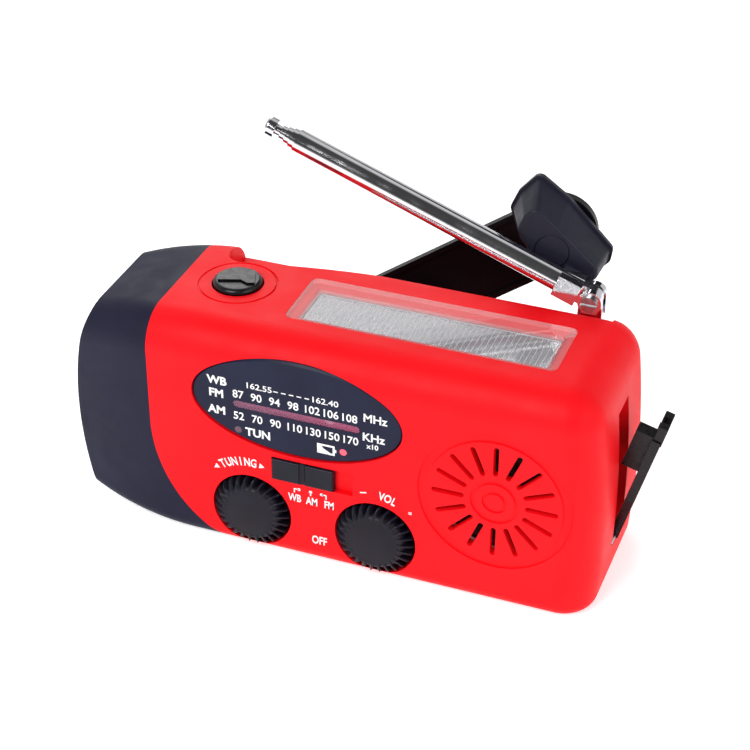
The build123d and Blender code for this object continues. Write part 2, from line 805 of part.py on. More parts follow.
def drive_gear():
    wheel = gear(drive_teeth, crank_module, 0, hub_x, hub_z, *drive_gear_y)
    return wheel - rod_deep(hub_x, hub_z, crank_shaft_radius, 0, 30)


def compound_gear():
    cx, cz = compound_place()
    turn = meshed_turn(drive_teeth, 0, pinion_teeth, math.radians(compound_angle))
    pinion = gear(pinion_teeth, crank_module, turn, cx, cz, wheel_y[1], drive_gear_y[1])
    wheel = gear(wheel_teeth, crank_module, 0, cx, cz, *wheel_y)
    return pinion + wheel + rod_deep(cx, cz, 1.2, gear_plate_y[0], back_y - 1.5)


def generator_pinion():
    gx, gz = generator_place()
    turn = meshed_turn(wheel_teeth, 0, pinion_teeth, 0)
    pinion = gear(pinion_teeth, crank_module, turn, gx, gz, wheel_y[0] - 0.2, wheel_y[1] + 0.2)
    return pinion + rod_deep(gx, gz, 1.2, 4, wheel_y[1] + 0.2)


def generator():
    gx, gz = generator_place()
    can = rod_deep(gx, gz, 8.0, -2.0, gear_plate_y[0])
    return can - rod_deep(gx, gz, 1.2 + run_gap, 3.9, 20)


def gearbox_frame():
    y0, y1 = gear_plate_y
    cx, cz = compound_place()
    gx, gz = generator_place()
    plate = from_front(make_hull(((Pos(-41.5, 30) * Circle(3)).edges()
                                  + (Pos(-10.5, 49.3) * Circle(2.6)).edges()
                                  + (Pos(27, gz) * Circle(4)).edges()
                                  + (Pos(hub_x, 26) * Circle(3)).edges()
                                  + (Pos(gx, 30) * Circle(4)).edges())), y0, y1)
    for x, z in ((-41.5, 30), (-10.5, 49.3), (28.5, gz)):
        plate += rod_deep(x, z, 1.3, y1, back_y - wall - 0.1)
    plate -= rod_deep(hub_x, hub_z, crank_shaft_radius + run_gap, 0, y1 + 1)
    plate -= rod_deep(cx, cz, 1.2 + run_gap, 0, y1 + 1)
    return plate - rod_deep(gx, gz, 3.0, 0, y1 + 1)


def crank_frame():
    """Arm's own axes: first along the arm when flat, second across it, third outwards."""
    along = (math.cos(math.radians(crank_lift)), 0, math.sin(math.radians(crank_lift)))
    origin = (hub_x, back_y, hub_z)
    return Plane(origin=origin, x_dir=along, z_dir=(0, 1, 0))


def on_crank(solid, tilted):
    """Places a solid drawn in the arm's axes; a tilted one is swung out about the hinge."""
    if tilted:
        solid = Pos(0, 0, hinge_out) * Rot(0, -crank_tilt, 0) * Pos(0, 0, -hinge_out) * solid
    return crank_frame().location * solid


def across(x, z, radius, y0, y1):
    return Pos(x, (y0 + y1) / 2, z) * Rot(90, 0, 0) * Cylinder(radius, y1 - y0)


def crank_hub():
    disc_low = 0.3
    disc_top = hinge_out - arm_thickness / 2 - 0.1
    disc = Pos(0, 0, (disc_low + disc_top) / 2) * Cylinder(hub_radius, disc_top - disc_low)
    shaft_end = back_y - gear_plate_y[0]
    shaft = Pos(0, 0, (disc_low - shaft_end) / 2) * Cylinder(crank_shaft_radius, disc_low + shaft_end)
    hub = disc + shaft
    inner = arm_width / 2 + ear_gap
    for side in (-1, 1):
        mid = side * (inner + ear_thickness / 2)
        ear = box(-1.9, 1.9, mid - ear_thickness / 2, mid + ear_thickness / 2, disc_top, hinge_out)
        ear += across(0, hinge_out, 1.9, mid - ear_thickness / 2, mid + ear_thickness / 2)
        hub += ear
    hub -= across(0, hinge_out, hinge_pin_radius, -20, 20)
    return on_crank(hub, False)


def crank_hinge_pin():
    reach = arm_width / 2 + ear_gap + ear_thickness
    return on_crank(across(0, hinge_out, hinge_pin_radius, -reach, reach), False)


def crank_arm():
    low = hinge_out - arm_thickness / 2
    half = arm_width / 2
    outline = Pos(crank_reach / 2, 0) * Rectangle(crank_reach, arm_width)
    outline += Pos(crank_reach, 0) * Circle(arm_end_radius)
    arm = extrude(Pos(0, 0, low) * outline, amount=arm_thickness)
    arm = fillet(arm.edges().group_by(Axis.Z)[-1].filter_by(lambda e: e.center().X > 1), 0.8)
    arm += across(0, hinge_out, arm_thickness / 2, -half, half)
    arm -= across(0, hinge_out, hinge_pin_radius + run_gap, -20, 20)
    panel = Pos(crank_reach / 2 + 3, 0) * Rectangle(crank_reach - 6, arm_width - 2 * arm_rim)
    panel += Pos(crank_reach, 0) * Circle(arm_end_radius - arm_rim)
    panel -= Pos(crank_reach, 0) * Circle(knob_pin_radius + 1.6)
    arm -= extrude(Pos(0, 0, low) * panel, amount=arm_sink)
    arm -= Pos(crank_reach, 0, hinge_out) * Cylinder(knob_pin_radius, 20)
    return on_crank(arm, True)


def grip_levels():
    top = hinge_out - arm_thickness / 2 - grip_gap
    return top, top - grip_depth


def crank_pin():
    top, low = grip_levels()
    z1 = hinge_out + arm_thickness / 2
    head_low = low + 1.4
    pin = Pos(crank_reach, 0, (z1 + head_low) / 2) * Cylinder(knob_pin_radius, z1 - head_low)
    pin += Pos(crank_reach, 0, head_low + 0.6) * Cylinder(3.2, 1.2)
    return on_crank(pin, True)


def crank_grip():
    top, low = grip_levels()
    turn = Rot(0, 0, -90 - grip_turn)
    foot = Pos(crank_reach, 0, top - grip_flange) * turn * grip_outline(grip_foot)
    flange = extrude(foot, amount=grip_flange, dir=(0, 0, 1))
    flange = chamfer(flange.edges().group_by(Axis.Z)[-1], 0.4)
    root = Pos(crank_reach, 0, top - grip_flange) * turn * grip_outline(grip_foot, -0.6)
    face = Pos(crank_reach, 0, low) * turn * grip_outline(grip_face)
    body = loft([root, face], ruled=True)
    body = fillet(body.edges().group_by(Axis.Z)[0], grip_edge)
    grip = flange + body
    boss_height = 4.0
    grip += Pos(crank_reach, 0, low + boss_height / 2) * Cylinder(grip_cap_radius + 0.5, boss_height)
    grip -= Pos(crank_reach, 0, 0) * Cylinder(knob_pin_radius + run_gap, 40)
    grip -= Pos(crank_reach, 0, low + 1.3) * Cylinder(grip_cap_radius, 3.0)
    return on_crank(grip, True)


def grip_cap():
    low = grip_levels()[1]
    cap = Pos(crank_reach, 0, low + 0.6) * Cylinder(grip_cap_radius, 1.2)
    cap = chamfer(cap.edges().group_by(Axis.Z)[0], 0.35)
    return on_crank(cap, True)


def aerial_place(solid):
    """Solids are drawn along +X from the tilt pivot and turned up over the body."""
    return Pos(aerial_x, aerial_y, aerial_z) * Rot(0, 180 + aerial_tilt, 0) * solid


def aerial_base():
    half = tongue_width / 2 + run_gap
    outer = fork_width / 2
    base = rod_up(aerial_x, aerial_y, neck_radius, groove_floor_z - wall - 2.0, groove_floor_z)
    base += rod_up(aerial_x, aerial_y, post_radius, groove_floor_z + 0.1, 57.5)
    base += rod_up(aerial_x, aerial_y, neck_radius, groove_floor_z - 0.1, groove_floor_z + 0.2)
    base += rod_up(aerial_x, aerial_y, fork_radius, 57.5, 59.7)
    for y0, y1 in ((-outer, -half), (half, outer)):
        base += box(aerial_x - fork_radius, aerial_x + fork_radius, aerial_y + y0, aerial_y + y1,
                    58.5, aerial_z) & rod_up(aerial_x, aerial_y, fork_sweep, 50, 80)
        base += rod_deep(aerial_x, aerial_z, fork_radius, aerial_y + y0, aerial_y + y1)
    return base - rod_deep(aerial_x, aerial_z, 1.2, 0, 40)


def aerial_nut():
    nut = extrude(Pos(aerial_x, aerial_y, groove_floor_z - wall - 2.0) * RegularPolygon(2.6, 6), amount=1.9)
    return nut - rod_up(aerial_x, aerial_y, neck_radius, 40, 60)


def aerial_hinge_pin():
    half = fork_width / 2
    pin = rod_deep(aerial_x, aerial_z, 1.2, aerial_y - half, aerial_y + half)
    pin += rod_deep(aerial_x, aerial_z, 2.0, aerial_y - half - 0.9, aerial_y - half)
    pin -= box(aerial_x - 3, aerial_x + 3, aerial_y - half - 1.5, aerial_y - half - 0.4,
               aerial_z - 0.3, aerial_z + 0.3)
    return pin


def section_span(index):
    end = first_tube_end + index * tube_step
    start = tube_start if index == 0 else tube_start + 0.5 + index * tube_step
    return start, end


def aerial_section(index):
    start, end = section_span(index)
    tube = rod_along(0, 0, tube_radii[index], start, end)
    if index < len(tube_radii) - 1:
        tube -= rod_along(0, 0, tube_radii[index] - tube_wall, start, end + 1)
    if index == 0:
        half = tongue_width / 2
        tube += rod_along(0, 0, tube_radii[0], 3.4, start)
        tube += box(3.2, start, -fork_width / 2, fork_width / 2, -2.8, 2.8)
        tongue = box(0, 3.3, -half, half, -2.6, 2.6) + rod_deep(0, 0, 2.6, -half, half)
        tube += tongue
        tube -= rod_deep(0, 0, 1.2 + run_gap, -5, 5)
    return aerial_place(tube)


def aerial_tip():
    end = section_span(len(tube_radii) - 1)[1]
    tip = rod_along(0, 0, tip_radius, end, end + tip_length)
    tip = fillet(tip.edges().group_by(Axis.X)[-1], 0.9)
    return aerial_place(tip)


def usb_socket():
    y = slot_mid_y()
    x1 = slot_floor_x - 0.2
    socket = box(x1 - 14, x1, y - port_width / 2, y + port_width / 2,
                 plug_z - port_height / 2, plug_z + port_height / 2)
    cavity = box(x1 - 10, x1 + 1, y - port_width / 2 + 0.6, y + port_width / 2 - 0.6,
                 plug_z - port_height / 2 + 0.4, plug_z + port_height / 2 - 0.4)
    tongue = box(x1 - 10, x1 - 2.6, y + 0.3, y + 1.7, plug_z - 5, plug_z + 5)
    return socket - cavity + tongue


def charge_socket():
    y = slot_mid_y()
    x1 = slot_floor_x - 0.2
    half = small_port_width / 2
    tall = small_port_height / 2
    socket = box(x1 - 6, x1, y - half, y + half, small_port_z - tall, small_port_z + tall)
    return socket - box(x1 - 5, x1 + 1, y - half + 0.4, y + half - 0.4,
                        small_port_z - tall + 0.4, small_port_z + tall - 0.4)


def port_board():
    y = slot_mid_y() + port_width / 2
    x1 = slot_floor_x - 2.0
    return box(x1 - 15, x1, y, y + 1.2, 13.5, 46.5)


def usb_flap():
    """Drawn upright at its pivot, then swung open."""
    half = flap_width / 2
    foot = flap_foot_width / 2
    y = slot_mid_y()
    outline = make_face(Polyline((-foot, 0), (-half, 13), (-half, flap_length), (half, flap_length),
                                 (half, 13), (foot, 0), close=True))
    leaf = from_end(Pos(y, 0) * outline, -flap_thickness / 2, flap_thickness / 2)
    leaf += Pos(0, y, 0) * Rot(90, 0, 0) * Cylinder(flap_thickness / 2, flap_foot_width)
    low = plug_z - flap_pivot_z - plug_height / 2
    leaf += box(-flap_thickness / 2 - plug_depth, -flap_thickness / 2 + 0.1,
                y - plug_width / 2, y + plug_width / 2, low, low + plug_height)
    for side in (-1, 1):
        y0 = y + side * 2.4
        leaf += box(-0.9, 1.3, y0 - 1.2, y0 + 1.2, flap_length - 1, flap_length + prong_length)
    leaf -= Pos(0, y, 0) * Rot(90, 0, 0) * Cylinder(0.6 + run_gap, 20)
    return Pos(flap_pivot_x, 0, flap_pivot_z) * Rot(0, flap_open, 0) * leaf


def flap_hinge_pin():
    return Pos(flap_pivot_x, 0, flap_pivot_z) * rod_deep(0, 0, 0.6, slot_y[0] - 1.2, slot_y[1] + 1.2)


def case_screws():
    screws = Part()
    for x, z in screw_spots:
        screw = rod_deep(x, z, screw_radius, -5.5, screw_head_y)
        screw += rod_deep(x, z, screw_head_radius, screw_head_y, screw_head_y + 1.6)
        screw -= box(x - 1.6, x + 1.6, screw_head_y + 0.7, screw_head_y + 3, z - 0.3, z + 0.3)
        screw -= box(x - 0.3, x + 0.3, screw_head_y + 0.7, screw_head_y + 3, z - 1.6, z + 1.6)
        screws += screw
    return screws


def build():
    outer = hull(0)
    inner = hull(wall)
    skin = outer - inner - head_zone()
    parts = {
        "front_shell": front_shell(skin, outer),
        "rear_shell": rear_shell(skin, outer, inner),
        "tuning_knob": knurled_knob(tuning_x),
        "volume_knob": knurled_knob(volume_x),
    }
    makers = (torch_head, torch_lens, torch_reflector, torch_leds, led_board, solar_cover,
              solar_cell, torch_button, torch_switch, switch_board, dial_plate, dial_window,
              indicator_lamps, tuning_gear, dial_pointer, pointer_guide, tuning_capacitor,
              volume_shaft, volume_pot, band_slider, band_switch, main_board, board_chips,
              speaker_frame, speaker_cone, speaker_magnet, battery_cell, battery_holder,
              ferrite_rod, aerial_coil, gearbox_frame, generator, generator_pinion,
              compound_gear, drive_gear, crank_hub, crank_hinge_pin, crank_arm, crank_pin,
              crank_grip, grip_cap, aerial_base, aerial_nut, aerial_hinge_pin, aerial_tip,
              usb_socket, charge_socket, port_board, usb_flap, flap_hinge_pin, case_screws)
    for maker in makers:
        parts[maker.__name__] = maker()
    for index in range(len(tube_radii)):
        parts[f"aerial_section_{index + 1}"] = aerial_section(index)
    return parts


os.makedirs("parts", exist_ok=True)
for name, solid in build().items():
    export_step(solid, f"parts/{name}.step")
    print(name, round(solid.volume, 1))
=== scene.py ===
# Looks, print and studio for the pocket crank radio. Blender units are metres, sizes in dictionaries are mm.
import json
import math

import bmesh
import bpy
from mathutils import Matrix, Vector
from mathutils.bvhtree import BVHTree


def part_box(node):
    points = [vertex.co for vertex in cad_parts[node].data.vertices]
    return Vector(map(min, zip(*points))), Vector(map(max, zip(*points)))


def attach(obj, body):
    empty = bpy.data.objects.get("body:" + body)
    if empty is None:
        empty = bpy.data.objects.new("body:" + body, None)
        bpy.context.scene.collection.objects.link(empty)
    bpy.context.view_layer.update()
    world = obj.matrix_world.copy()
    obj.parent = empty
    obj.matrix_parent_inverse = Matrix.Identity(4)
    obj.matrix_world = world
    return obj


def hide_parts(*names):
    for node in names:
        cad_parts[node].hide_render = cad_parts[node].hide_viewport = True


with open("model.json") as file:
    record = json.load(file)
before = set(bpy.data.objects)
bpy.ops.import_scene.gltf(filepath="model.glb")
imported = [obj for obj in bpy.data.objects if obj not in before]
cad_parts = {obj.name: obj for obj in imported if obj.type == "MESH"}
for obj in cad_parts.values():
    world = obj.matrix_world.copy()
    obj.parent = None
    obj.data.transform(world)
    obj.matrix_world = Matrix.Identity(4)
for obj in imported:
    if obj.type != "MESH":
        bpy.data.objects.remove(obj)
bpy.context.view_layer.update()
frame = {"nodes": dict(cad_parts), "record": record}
nodes = frame["nodes"]
mm = 0.001
print("loaded", len(nodes), "parts")
bpy.context.scene.view_settings.view_transform = "Standard"  # plain colours, as the finishes below are picked


def hexColor(code, alpha=1.0):
    channels = [int(code[i:i + 2], 16) / 255 for i in (1, 3, 5)]
    linear = [c / 12.92 if c <= 0.04045 else ((c + 0.055) / 1.055) ** 2.4 for c in channels]
    return (*linear, alpha)


def addNode(tree, kind, settings=None, values=None, links=None):
    node = tree.nodes.new(kind)
    for name, value in (settings or {}).items():
        setattr(node, name, value)
    for socket, value in (values or {}).items():
        node.inputs[socket].default_value = value
    for socket, source in (links or {}).items():
        tree.links.new(source, node.inputs[socket])
    return node


def blankMaterial(name):
    material = bpy.data.materials.new(name)
    material.use_nodes = True
    tree = material.node_tree
    tree.nodes.clear()
    place = addNode(tree, "ShaderNodeTexCoord")
    return material, tree, place.outputs["Object"]


def closeMaterial(tree, shader):
    addNode(tree, "ShaderNodeOutputMaterial", links={"Surface": shader.outputs[0]})


def twoTone(tree, factor, low, high, stops=(0.3, 0.7)):
    ramp = addNode(tree, "ShaderNodeValToRGB", links={0: factor})
    for element, stop, code in zip(ramp.color_ramp.elements, stops, (low, high)):
        element.position = stop
        element.color = hexColor(code)
    return ramp.outputs[0]


# moulded plastics: cloud is the width of soft colour drift, grain the eroded texture of the mould, both in mm
mouldedFinishes = {
    # soft-touch lacquer on ABS: an even, faintly powdery red with wide soft highlights
    "softTouchRedAbs": dict(slot="red_abs", low="#F00815", high="#F60C19", cloud=26, grain=0.45,
                            depth=0.012, rough=(0.46, 0.56), ior=1.5, coat=0.0, sheen=0.0, shine=0.14),
    # mass-coloured ABS with a fine eroded grain: charcoal with a blue cast, dull broad shine
    "grainedCharcoalAbs": dict(slot="black_abs", low="#17172C", high="#1C1C34", cloud=18, grain=0.5,
                               depth=0.02, rough=(0.46, 0.58), ior=1.53, coat=0.0, sheen=0.0, shine=0.15),
    # the knobs are a darker, smoother moulding that fingers have polished a little
    "satinKnobAbs": dict(slot="knob_abs", low="#0D0D18", high="#141422", cloud=6, grain=0.3,
                         depth=0.010, rough=(0.34, 0.46), ior=1.53, coat=0.0, sheen=0.0, shine=0.2),
    "grainedGripAbs": dict(slot="grip_abs", low="#141422", high="#1A1A2B", cloud=9, grain=0.55,
                           depth=0.025, rough=(0.42, 0.56), ior=1.53, coat=0.0, sheen=0.0, shine=0.25),
    # near-black with a low, soft shine and faint rub marks
    "polishedBlackAbs": dict(slot="arm_gloss", low="#08080A", high="#0E0E11", cloud=12, grain=1.6,
                             depth=0.003, rough=(0.30, 0.42), ior=1.45, coat=0.0, sheen=0.0, shine=0.08),
    "satinBlackSlider": dict(slot="black_slider", low="#0F101C", high="#161726", cloud=5, grain=0.35,
                             depth=0.008, rough=(0.30, 0.40), ior=1.53, coat=0.0, sheen=0.0, shine=0.2),
    # synthetic rubber: black with a slight shine where it is touched
    "mouldedRubber": dict(slot="black_rubber", low="#07070A", high="#0D0D12", cloud=4, grain=0.4,
                          depth=0.014, rough=(0.22, 0.38), ior=1.52, coat=0.0, sheen=0.0, shine=0.3),
    # back-printed dial: satin graphite face
    "screenedDialFace": dict(slot="dial_gloss", low="#161A30", high="#1B2038", cloud=14, grain=0.7,
                             depth=0.004, rough=(0.30, 0.38), ior=1.5, coat=0.0, sheen=0.0, shine=0.16),
    "whitePointerAbs": dict(slot="pointer_white", low="#EDEDF0", high="#F8F8FA", cloud=3, grain=0.4,
                            depth=0.004, rough=(0.32, 0.42), ior=1.53, coat=0.0, sheen=0.0),
    "whiteLedResin": dict(slot="led_resin", low="#E9E6C8", high="#FAF8EC", cloud=2, grain=0.4,
                          depth=0.003, rough=(0.12, 0.22), ior=1.54, coat=0.3, sheen=0.0),
    # unfilled nylon: milky, waxy, slightly yellow
    "naturalNylon": dict(slot="white_nylon", low="#DCDACB", high="#ECEADF", cloud=5, grain=0.5,
                         depth=0.006, rough=(0.38, 0.50), ior=1.53, coat=0.0, sheen=0.0),
    "filledBlackNylon": dict(slot="black_nylon", low="#1A1A1B", high="#262628", cloud=4, grain=0.5,
                             depth=0.010, rough=(0.48, 0.60), ior=1.53, coat=0.0, sheen=0.0),
    "pressedPaperCone": dict(slot="paper_cone", low="#1E1C1B", high="#302D2B", cloud=2.5, grain=0.35,
                             depth=0.03, rough=(0.78, 0.92), ior=1.45, coat=0.0, sheen=0.1),
    "sinteredFerrite": dict(slot="ferrite", low="#2B2B2E", high="#3A3A3D", cloud=2, grain=0.3,
                            depth=0.015, rough=(0.50, 0.68), ior=1.7, coat=0.0, sheen=0.0),
    "shrinkWrapBlue": dict(slot="cell_wrap", low="#244E8C", high="#2E62AB", cloud=8, grain=2.2,
                           depth=0.012, rough=(0.20, 0.32), ior=1.5, coat=0.1, sheen=0.0),
}


def mouldedPlastic(name, spec):
    material, tree, place = blankMaterial(name)
    drift = addNode(tree, "ShaderNodeTexNoise", values={"Scale": 1 / (spec["cloud"] * mm), "Detail": 2.0},
                    links={"Vector": place})
    grain = addNode(tree, "ShaderNodeTexNoise", values={"Scale": 1 / (spec["grain"] * mm), "Detail": 3.0},
                    links={"Vector": place})
    rub = addNode(tree, "ShaderNodeTexNoise", values={"Scale": 1 / (spec["cloud"] * 0.35 * mm),
                                                      "Detail": 4.0,
                                                     "Distortion": 0.6}, links={"Vector": place})
    rough = addNode(tree, "ShaderNodeMapRange", values={"From Min": 0.3, "From Max": 0.7,
                                                        "To Min": spec["rough"][0],
                                                        "To Max": spec["rough"][1]},
                    links={"Value": rub.outputs[0]})
    bump = addNode(tree, "ShaderNodeBump", values={"Strength": 0.6, "Distance": spec["depth"] * mm},
                   links={"Height": grain.outputs[0]})
    shader = addNode(tree, "ShaderNodeBsdfPrincipled",
                     values={"IOR": spec["ior"], "Coat Weight": spec["coat"], "Coat Roughness": 0.08,
                             "Sheen Weight": spec["sheen"], "Sheen Roughness": 0.5,
                             "Specular IOR Level": spec.get("shine", 0.5)},
                     links={"Base Color": twoTone(tree, drift.outputs[0], spec["low"], spec["high"]),
                            "Roughness": rough.outputs[0], "Normal": bump.outputs[0]})
    closeMaterial(tree, shader)
    return material


metalFinishes = {
    # bright nickel-chrome on brass tube: mirror with fine haze where hands slide it
    "brightChromePlate": dict(slot="chrome_plate", low="#CFCFD3", high="#DEDEE1", haze=5,
                              rough=(0.05, 0.14), depth=0.001),
    # aluminium vapour on a plastic cup, a little orange peel
    "vapourMetalReflector": dict(slot="chromed_reflector", low="#D3D3D6", high="#E2E2E5", haze=2.5,
                                 rough=(0.04, 0.10), depth=0.006),
    "rolledSteel": dict(slot="steel", low="#9A9A9C", high="#B4B4B6", haze=1.5, rough=(0.26, 0.42),
                        depth=0.004),
    "hobbedBrass": dict(slot="brass_gear", low="#C49B4E", high="#D9B469", haze=1.0, rough=(0.24, 0.36),
                        depth=0.004),
}


def platedMetal(name, spec):
    material, tree, place = blankMaterial(name)
    haze = addNode(tree, "ShaderNodeTexNoise", values={"Scale": 1 / (spec["haze"] * mm), "Detail": 5.0},
                   links={"Vector": place})
    rough = addNode(tree, "ShaderNodeMapRange", values={"From Min": 0.35, "From Max": 0.7,
                                                        "To Min": spec["rough"][0],
                                                        "To Max": spec["rough"][1]},
                    links={"Value": haze.outputs[0]})
    bump = addNode(tree, "ShaderNodeBump", values={"Strength": 0.5, "Distance": spec["depth"] * mm},
                   links={"Height": haze.outputs[0]})
    shader = addNode(tree, "ShaderNodeBsdfPrincipled", values={"Metallic": 1.0},
                     links={"Base Color": twoTone(tree, haze.outputs[0], spec["low"], spec["high"]),
                            "Roughness": rough.outputs[0], "Normal": bump.outputs[0]})
    closeMaterial(tree, shader)
    return material


clearFinishes = {
    # acrylic sheet: clear, with handling haze that widens some highlights
    "clearAcrylicCover": dict(slot="clear_cover", low="#F4F4F8", high="#FFFFFF", smear=14,
                              rough=(0.02, 0.04), ior=1.49, alpha=0.16),
    "clearTorchLens": dict(slot="clear_lens", low="#F4F6F8", high="#FFFFFF", smear=9, rough=(0.02, 0.06),
                           ior=1.49, alpha=0.3),
}


def clearPlastic(name, spec):
    material, tree, place = blankMaterial(name)
    smear = addNode(tree, "ShaderNodeTexNoise", values={"Scale": 1 / (spec["smear"] * mm), "Detail": 5.0,
                                                       "Distortion": 1.2}, links={"Vector": place})
    rough = addNode(tree, "ShaderNodeMapRange", values={"From Min": 0.4, "From Max": 0.75,
                                                        "To Min": spec["rough"][0],
                                                        "To Max": spec["rough"][1]},
                    links={"Value": smear.outputs[0]})
    shader = addNode(tree, "ShaderNodeBsdfPrincipled", values={"IOR": spec["ior"], "Alpha": spec["alpha"]},
                     links={"Base Color": twoTone(tree, smear.outputs[0], spec["low"], spec["high"]),
                            "Roughness": rough.outputs[0]})
    closeMaterial(tree, shader)
    return material


inkDepth = 0.024

# tuning window: a dyed strip, mauve at its left end and pinker to the right
dyedWindow = dict(slot="window_tint", left="#A8708E", right="#C96088", span=(-27.3, 4.5), rough=0.28,
                  alpha=0.42)


def dyedWindowAcrylic():
    material, tree, place = blankMaterial("dyedWindowAcrylic")
    axes = addNode(tree, "ShaderNodeSeparateXYZ", links={0: place})
    along = addNode(tree, "ShaderNodeMapRange", values={"From Min": dyedWindow["span"][0] * mm,
                                                        "From Max": dyedWindow["span"][1] * mm},
                    links={"Value": axes.outputs[0]})
    streak = addNode(tree, "ShaderNodeTexNoise", values={"Scale": 1 / (1.5 * mm), "Detail": 3.0},
                     links={"Vector": place})
    bump = addNode(tree, "ShaderNodeBump", values={"Strength": 0.3, "Distance": 0.01 * mm},
                   links={"Height": streak.outputs[0]})
    shader = addNode(tree, "ShaderNodeBsdfPrincipled",
                     values={"IOR": 1.49, "Roughness": dyedWindow["rough"],
                                                               "Transmission Weight": 0.0,
                                                               "Alpha": dyedWindow["alpha"]},
                     links={"Base Color": twoTone(tree, along.outputs[0], dyedWindow["left"],
                                                  dyedWindow["right"], (0.0, 1.0)),
                            "Normal": bump.outputs[0]})
    closeMaterial(tree, shader)
    return material


# two lamps: the tuning lamp is unlit and smoky, the charging lamp a bright pink-red
lampResin = dict(slot="lamp_red", dull="#5C3A4C", bright="#FF5A72", split=-13.0, rough=0.22)


def castLampResin():
    material, tree, place = blankMaterial("castLampResin")
    axes = addNode(tree, "ShaderNodeSeparateXYZ", links={0: place})
    cloudy = addNode(tree, "ShaderNodeTexNoise", values={"Scale": 1 / (0.8 * mm), "Detail": 2.0},
                     links={"Vector": place})
    side = addNode(tree, "ShaderNodeMapRange", values={"From Min": (lampResin["split"] - 1) * mm,
                                                       "From Max": (lampResin["split"] + 1) * mm},
                                                       links={"Value": axes.outputs[0]})
    bump = addNode(tree, "ShaderNodeBump", values={"Strength": 0.3, "Distance": 0.02 * mm},
                   links={"Height": cloudy.outputs[0]})
    shader = addNode(tree, "ShaderNodeBsdfPrincipled",
                     values={"IOR": 1.54, "Roughness": lampResin["rough"]},
                     links={"Base Color": twoTone(tree, side.outputs[0], lampResin["dull"],
                                                  lampResin["bright"], (0.0, 1.0)),
                            "Normal": bump.outputs[0]})
    closeMaterial(tree, shader)
    return material


# silicon wafer with anti-reflection coat: blue-black, drifting to violet
wafer = dict(slot="solar_silicon", low="#0D0B1A", high="#1B1830", rough=0.06)


def coatedSilicon():
    material, tree, place = blankMaterial("coatedSilicon")
    crystal = addNode(tree, "ShaderNodeTexVoronoi", values={"Scale": 1 / (3.5 * mm)},
                      links={"Vector": place})
    drift = addNode(tree, "ShaderNodeTexNoise", values={"Scale": 1 / (9 * mm), "Detail": 3.0},
                    links={"Vector": place})
    blend = addNode(tree, "ShaderNodeMath", {"operation": "MULTIPLY"},
                    links={0: crystal.outputs["Distance"], 1: drift.outputs[0]})
    tall = addNode(tree, "ShaderNodeMath", {"operation": "MULTIPLY"}, {1: 700.0}, {0: blend.outputs[0]})
    shader = addNode(tree, "ShaderNodeBsdfPrincipled", values={"IOR": 1.6, "Roughness": wafer["rough"]},
                     links={"Base Color": twoTone(tree, tall.outputs[0], wafer["low"], wafer["high"],
                                                  (0.1, 0.9))})
    closeMaterial(tree, shader)
    return material


# FR4 laminate under green solder mask, with copper tracks that show as a lighter green
laminate = dict(slot="circuit_board", mask="#0F4F2A", track="#2C7A45", pitch=1.6)


def solderMaskLaminate():
    material, tree, place = blankMaterial("solderMaskLaminate")
    tracks = addNode(tree, "ShaderNodeTexVoronoi", {"feature": "DISTANCE_TO_EDGE", "distance": "EUCLIDEAN"},
                     {"Scale": 1 / (laminate["pitch"] * mm)}, {"Vector": place})
    weave = addNode(tree, "ShaderNodeTexNoise", values={"Scale": 1 / (0.4 * mm)}, links={"Vector": place})
    bump = addNode(tree, "ShaderNodeBump", values={"Strength": 0.4, "Distance": 0.01 * mm},
                   links={"Height": weave.outputs[0]})
    shader = addNode(tree, "ShaderNodeBsdfPrincipled", values={"IOR": 1.55, "Roughness": 0.34},
                     links={"Base Color": twoTone(tree, tracks.outputs[0], laminate["track"],
                                                  laminate["mask"], (0.08, 0.12)),
                            "Normal": bump.outputs[0]})
    closeMaterial(tree, shader)
    return material


# enamelled copper: turns side by side, drawn 0.6 mm apart so that they show
winding = dict(slot="copper_wire", low="#7A3A18", high="#C4703A", turn=0.6)


def enamelledCopper():
    material, tree, place = blankMaterial("enamelledCopper")
    turns = addNode(tree, "ShaderNodeTexWave", {"wave_type": "BANDS", "bands_direction": "X"},
                    {"Scale": 0.314 / (winding["turn"] * mm), "Distortion": 0.3}, {"Vector": place})
    bump = addNode(tree, "ShaderNodeBump", values={"Strength": 0.8, "Distance": 0.15 * mm},
                   links={"Height": turns.outputs["Fac"]})
    shader = addNode(tree, "ShaderNodeBsdfPrincipled", values={"Metallic": 0.8, "Roughness": 0.3},
                     links={"Base Color": twoTone(tree, turns.outputs["Fac"], winding["low"],
                                                  winding["high"]),
                            "Normal": bump.outputs[0]})
    closeMaterial(tree, shader)
    return material


# pad-printed ink: opaque white, slightly thin in places
printInk = dict(low="#E8E8EA", high="#FFFFFF", cloud=1.2, rough=0.5)


def paddedInk(name, low, high):
    material, tree, place = blankMaterial(name)
    thin = addNode(tree, "ShaderNodeTexNoise",
                   values={"Scale": 1 / (printInk["cloud"] * mm), "Detail": 3.0},
                   links={"Vector": place})
    shader = addNode(tree, "ShaderNodeBsdfPrincipled", values={"IOR": 1.48, "Roughness": printInk["rough"]},
                     links={"Base Color": twoTone(tree, thin.outputs[0], low, high)})
    closeMaterial(tree, shader)
    return material


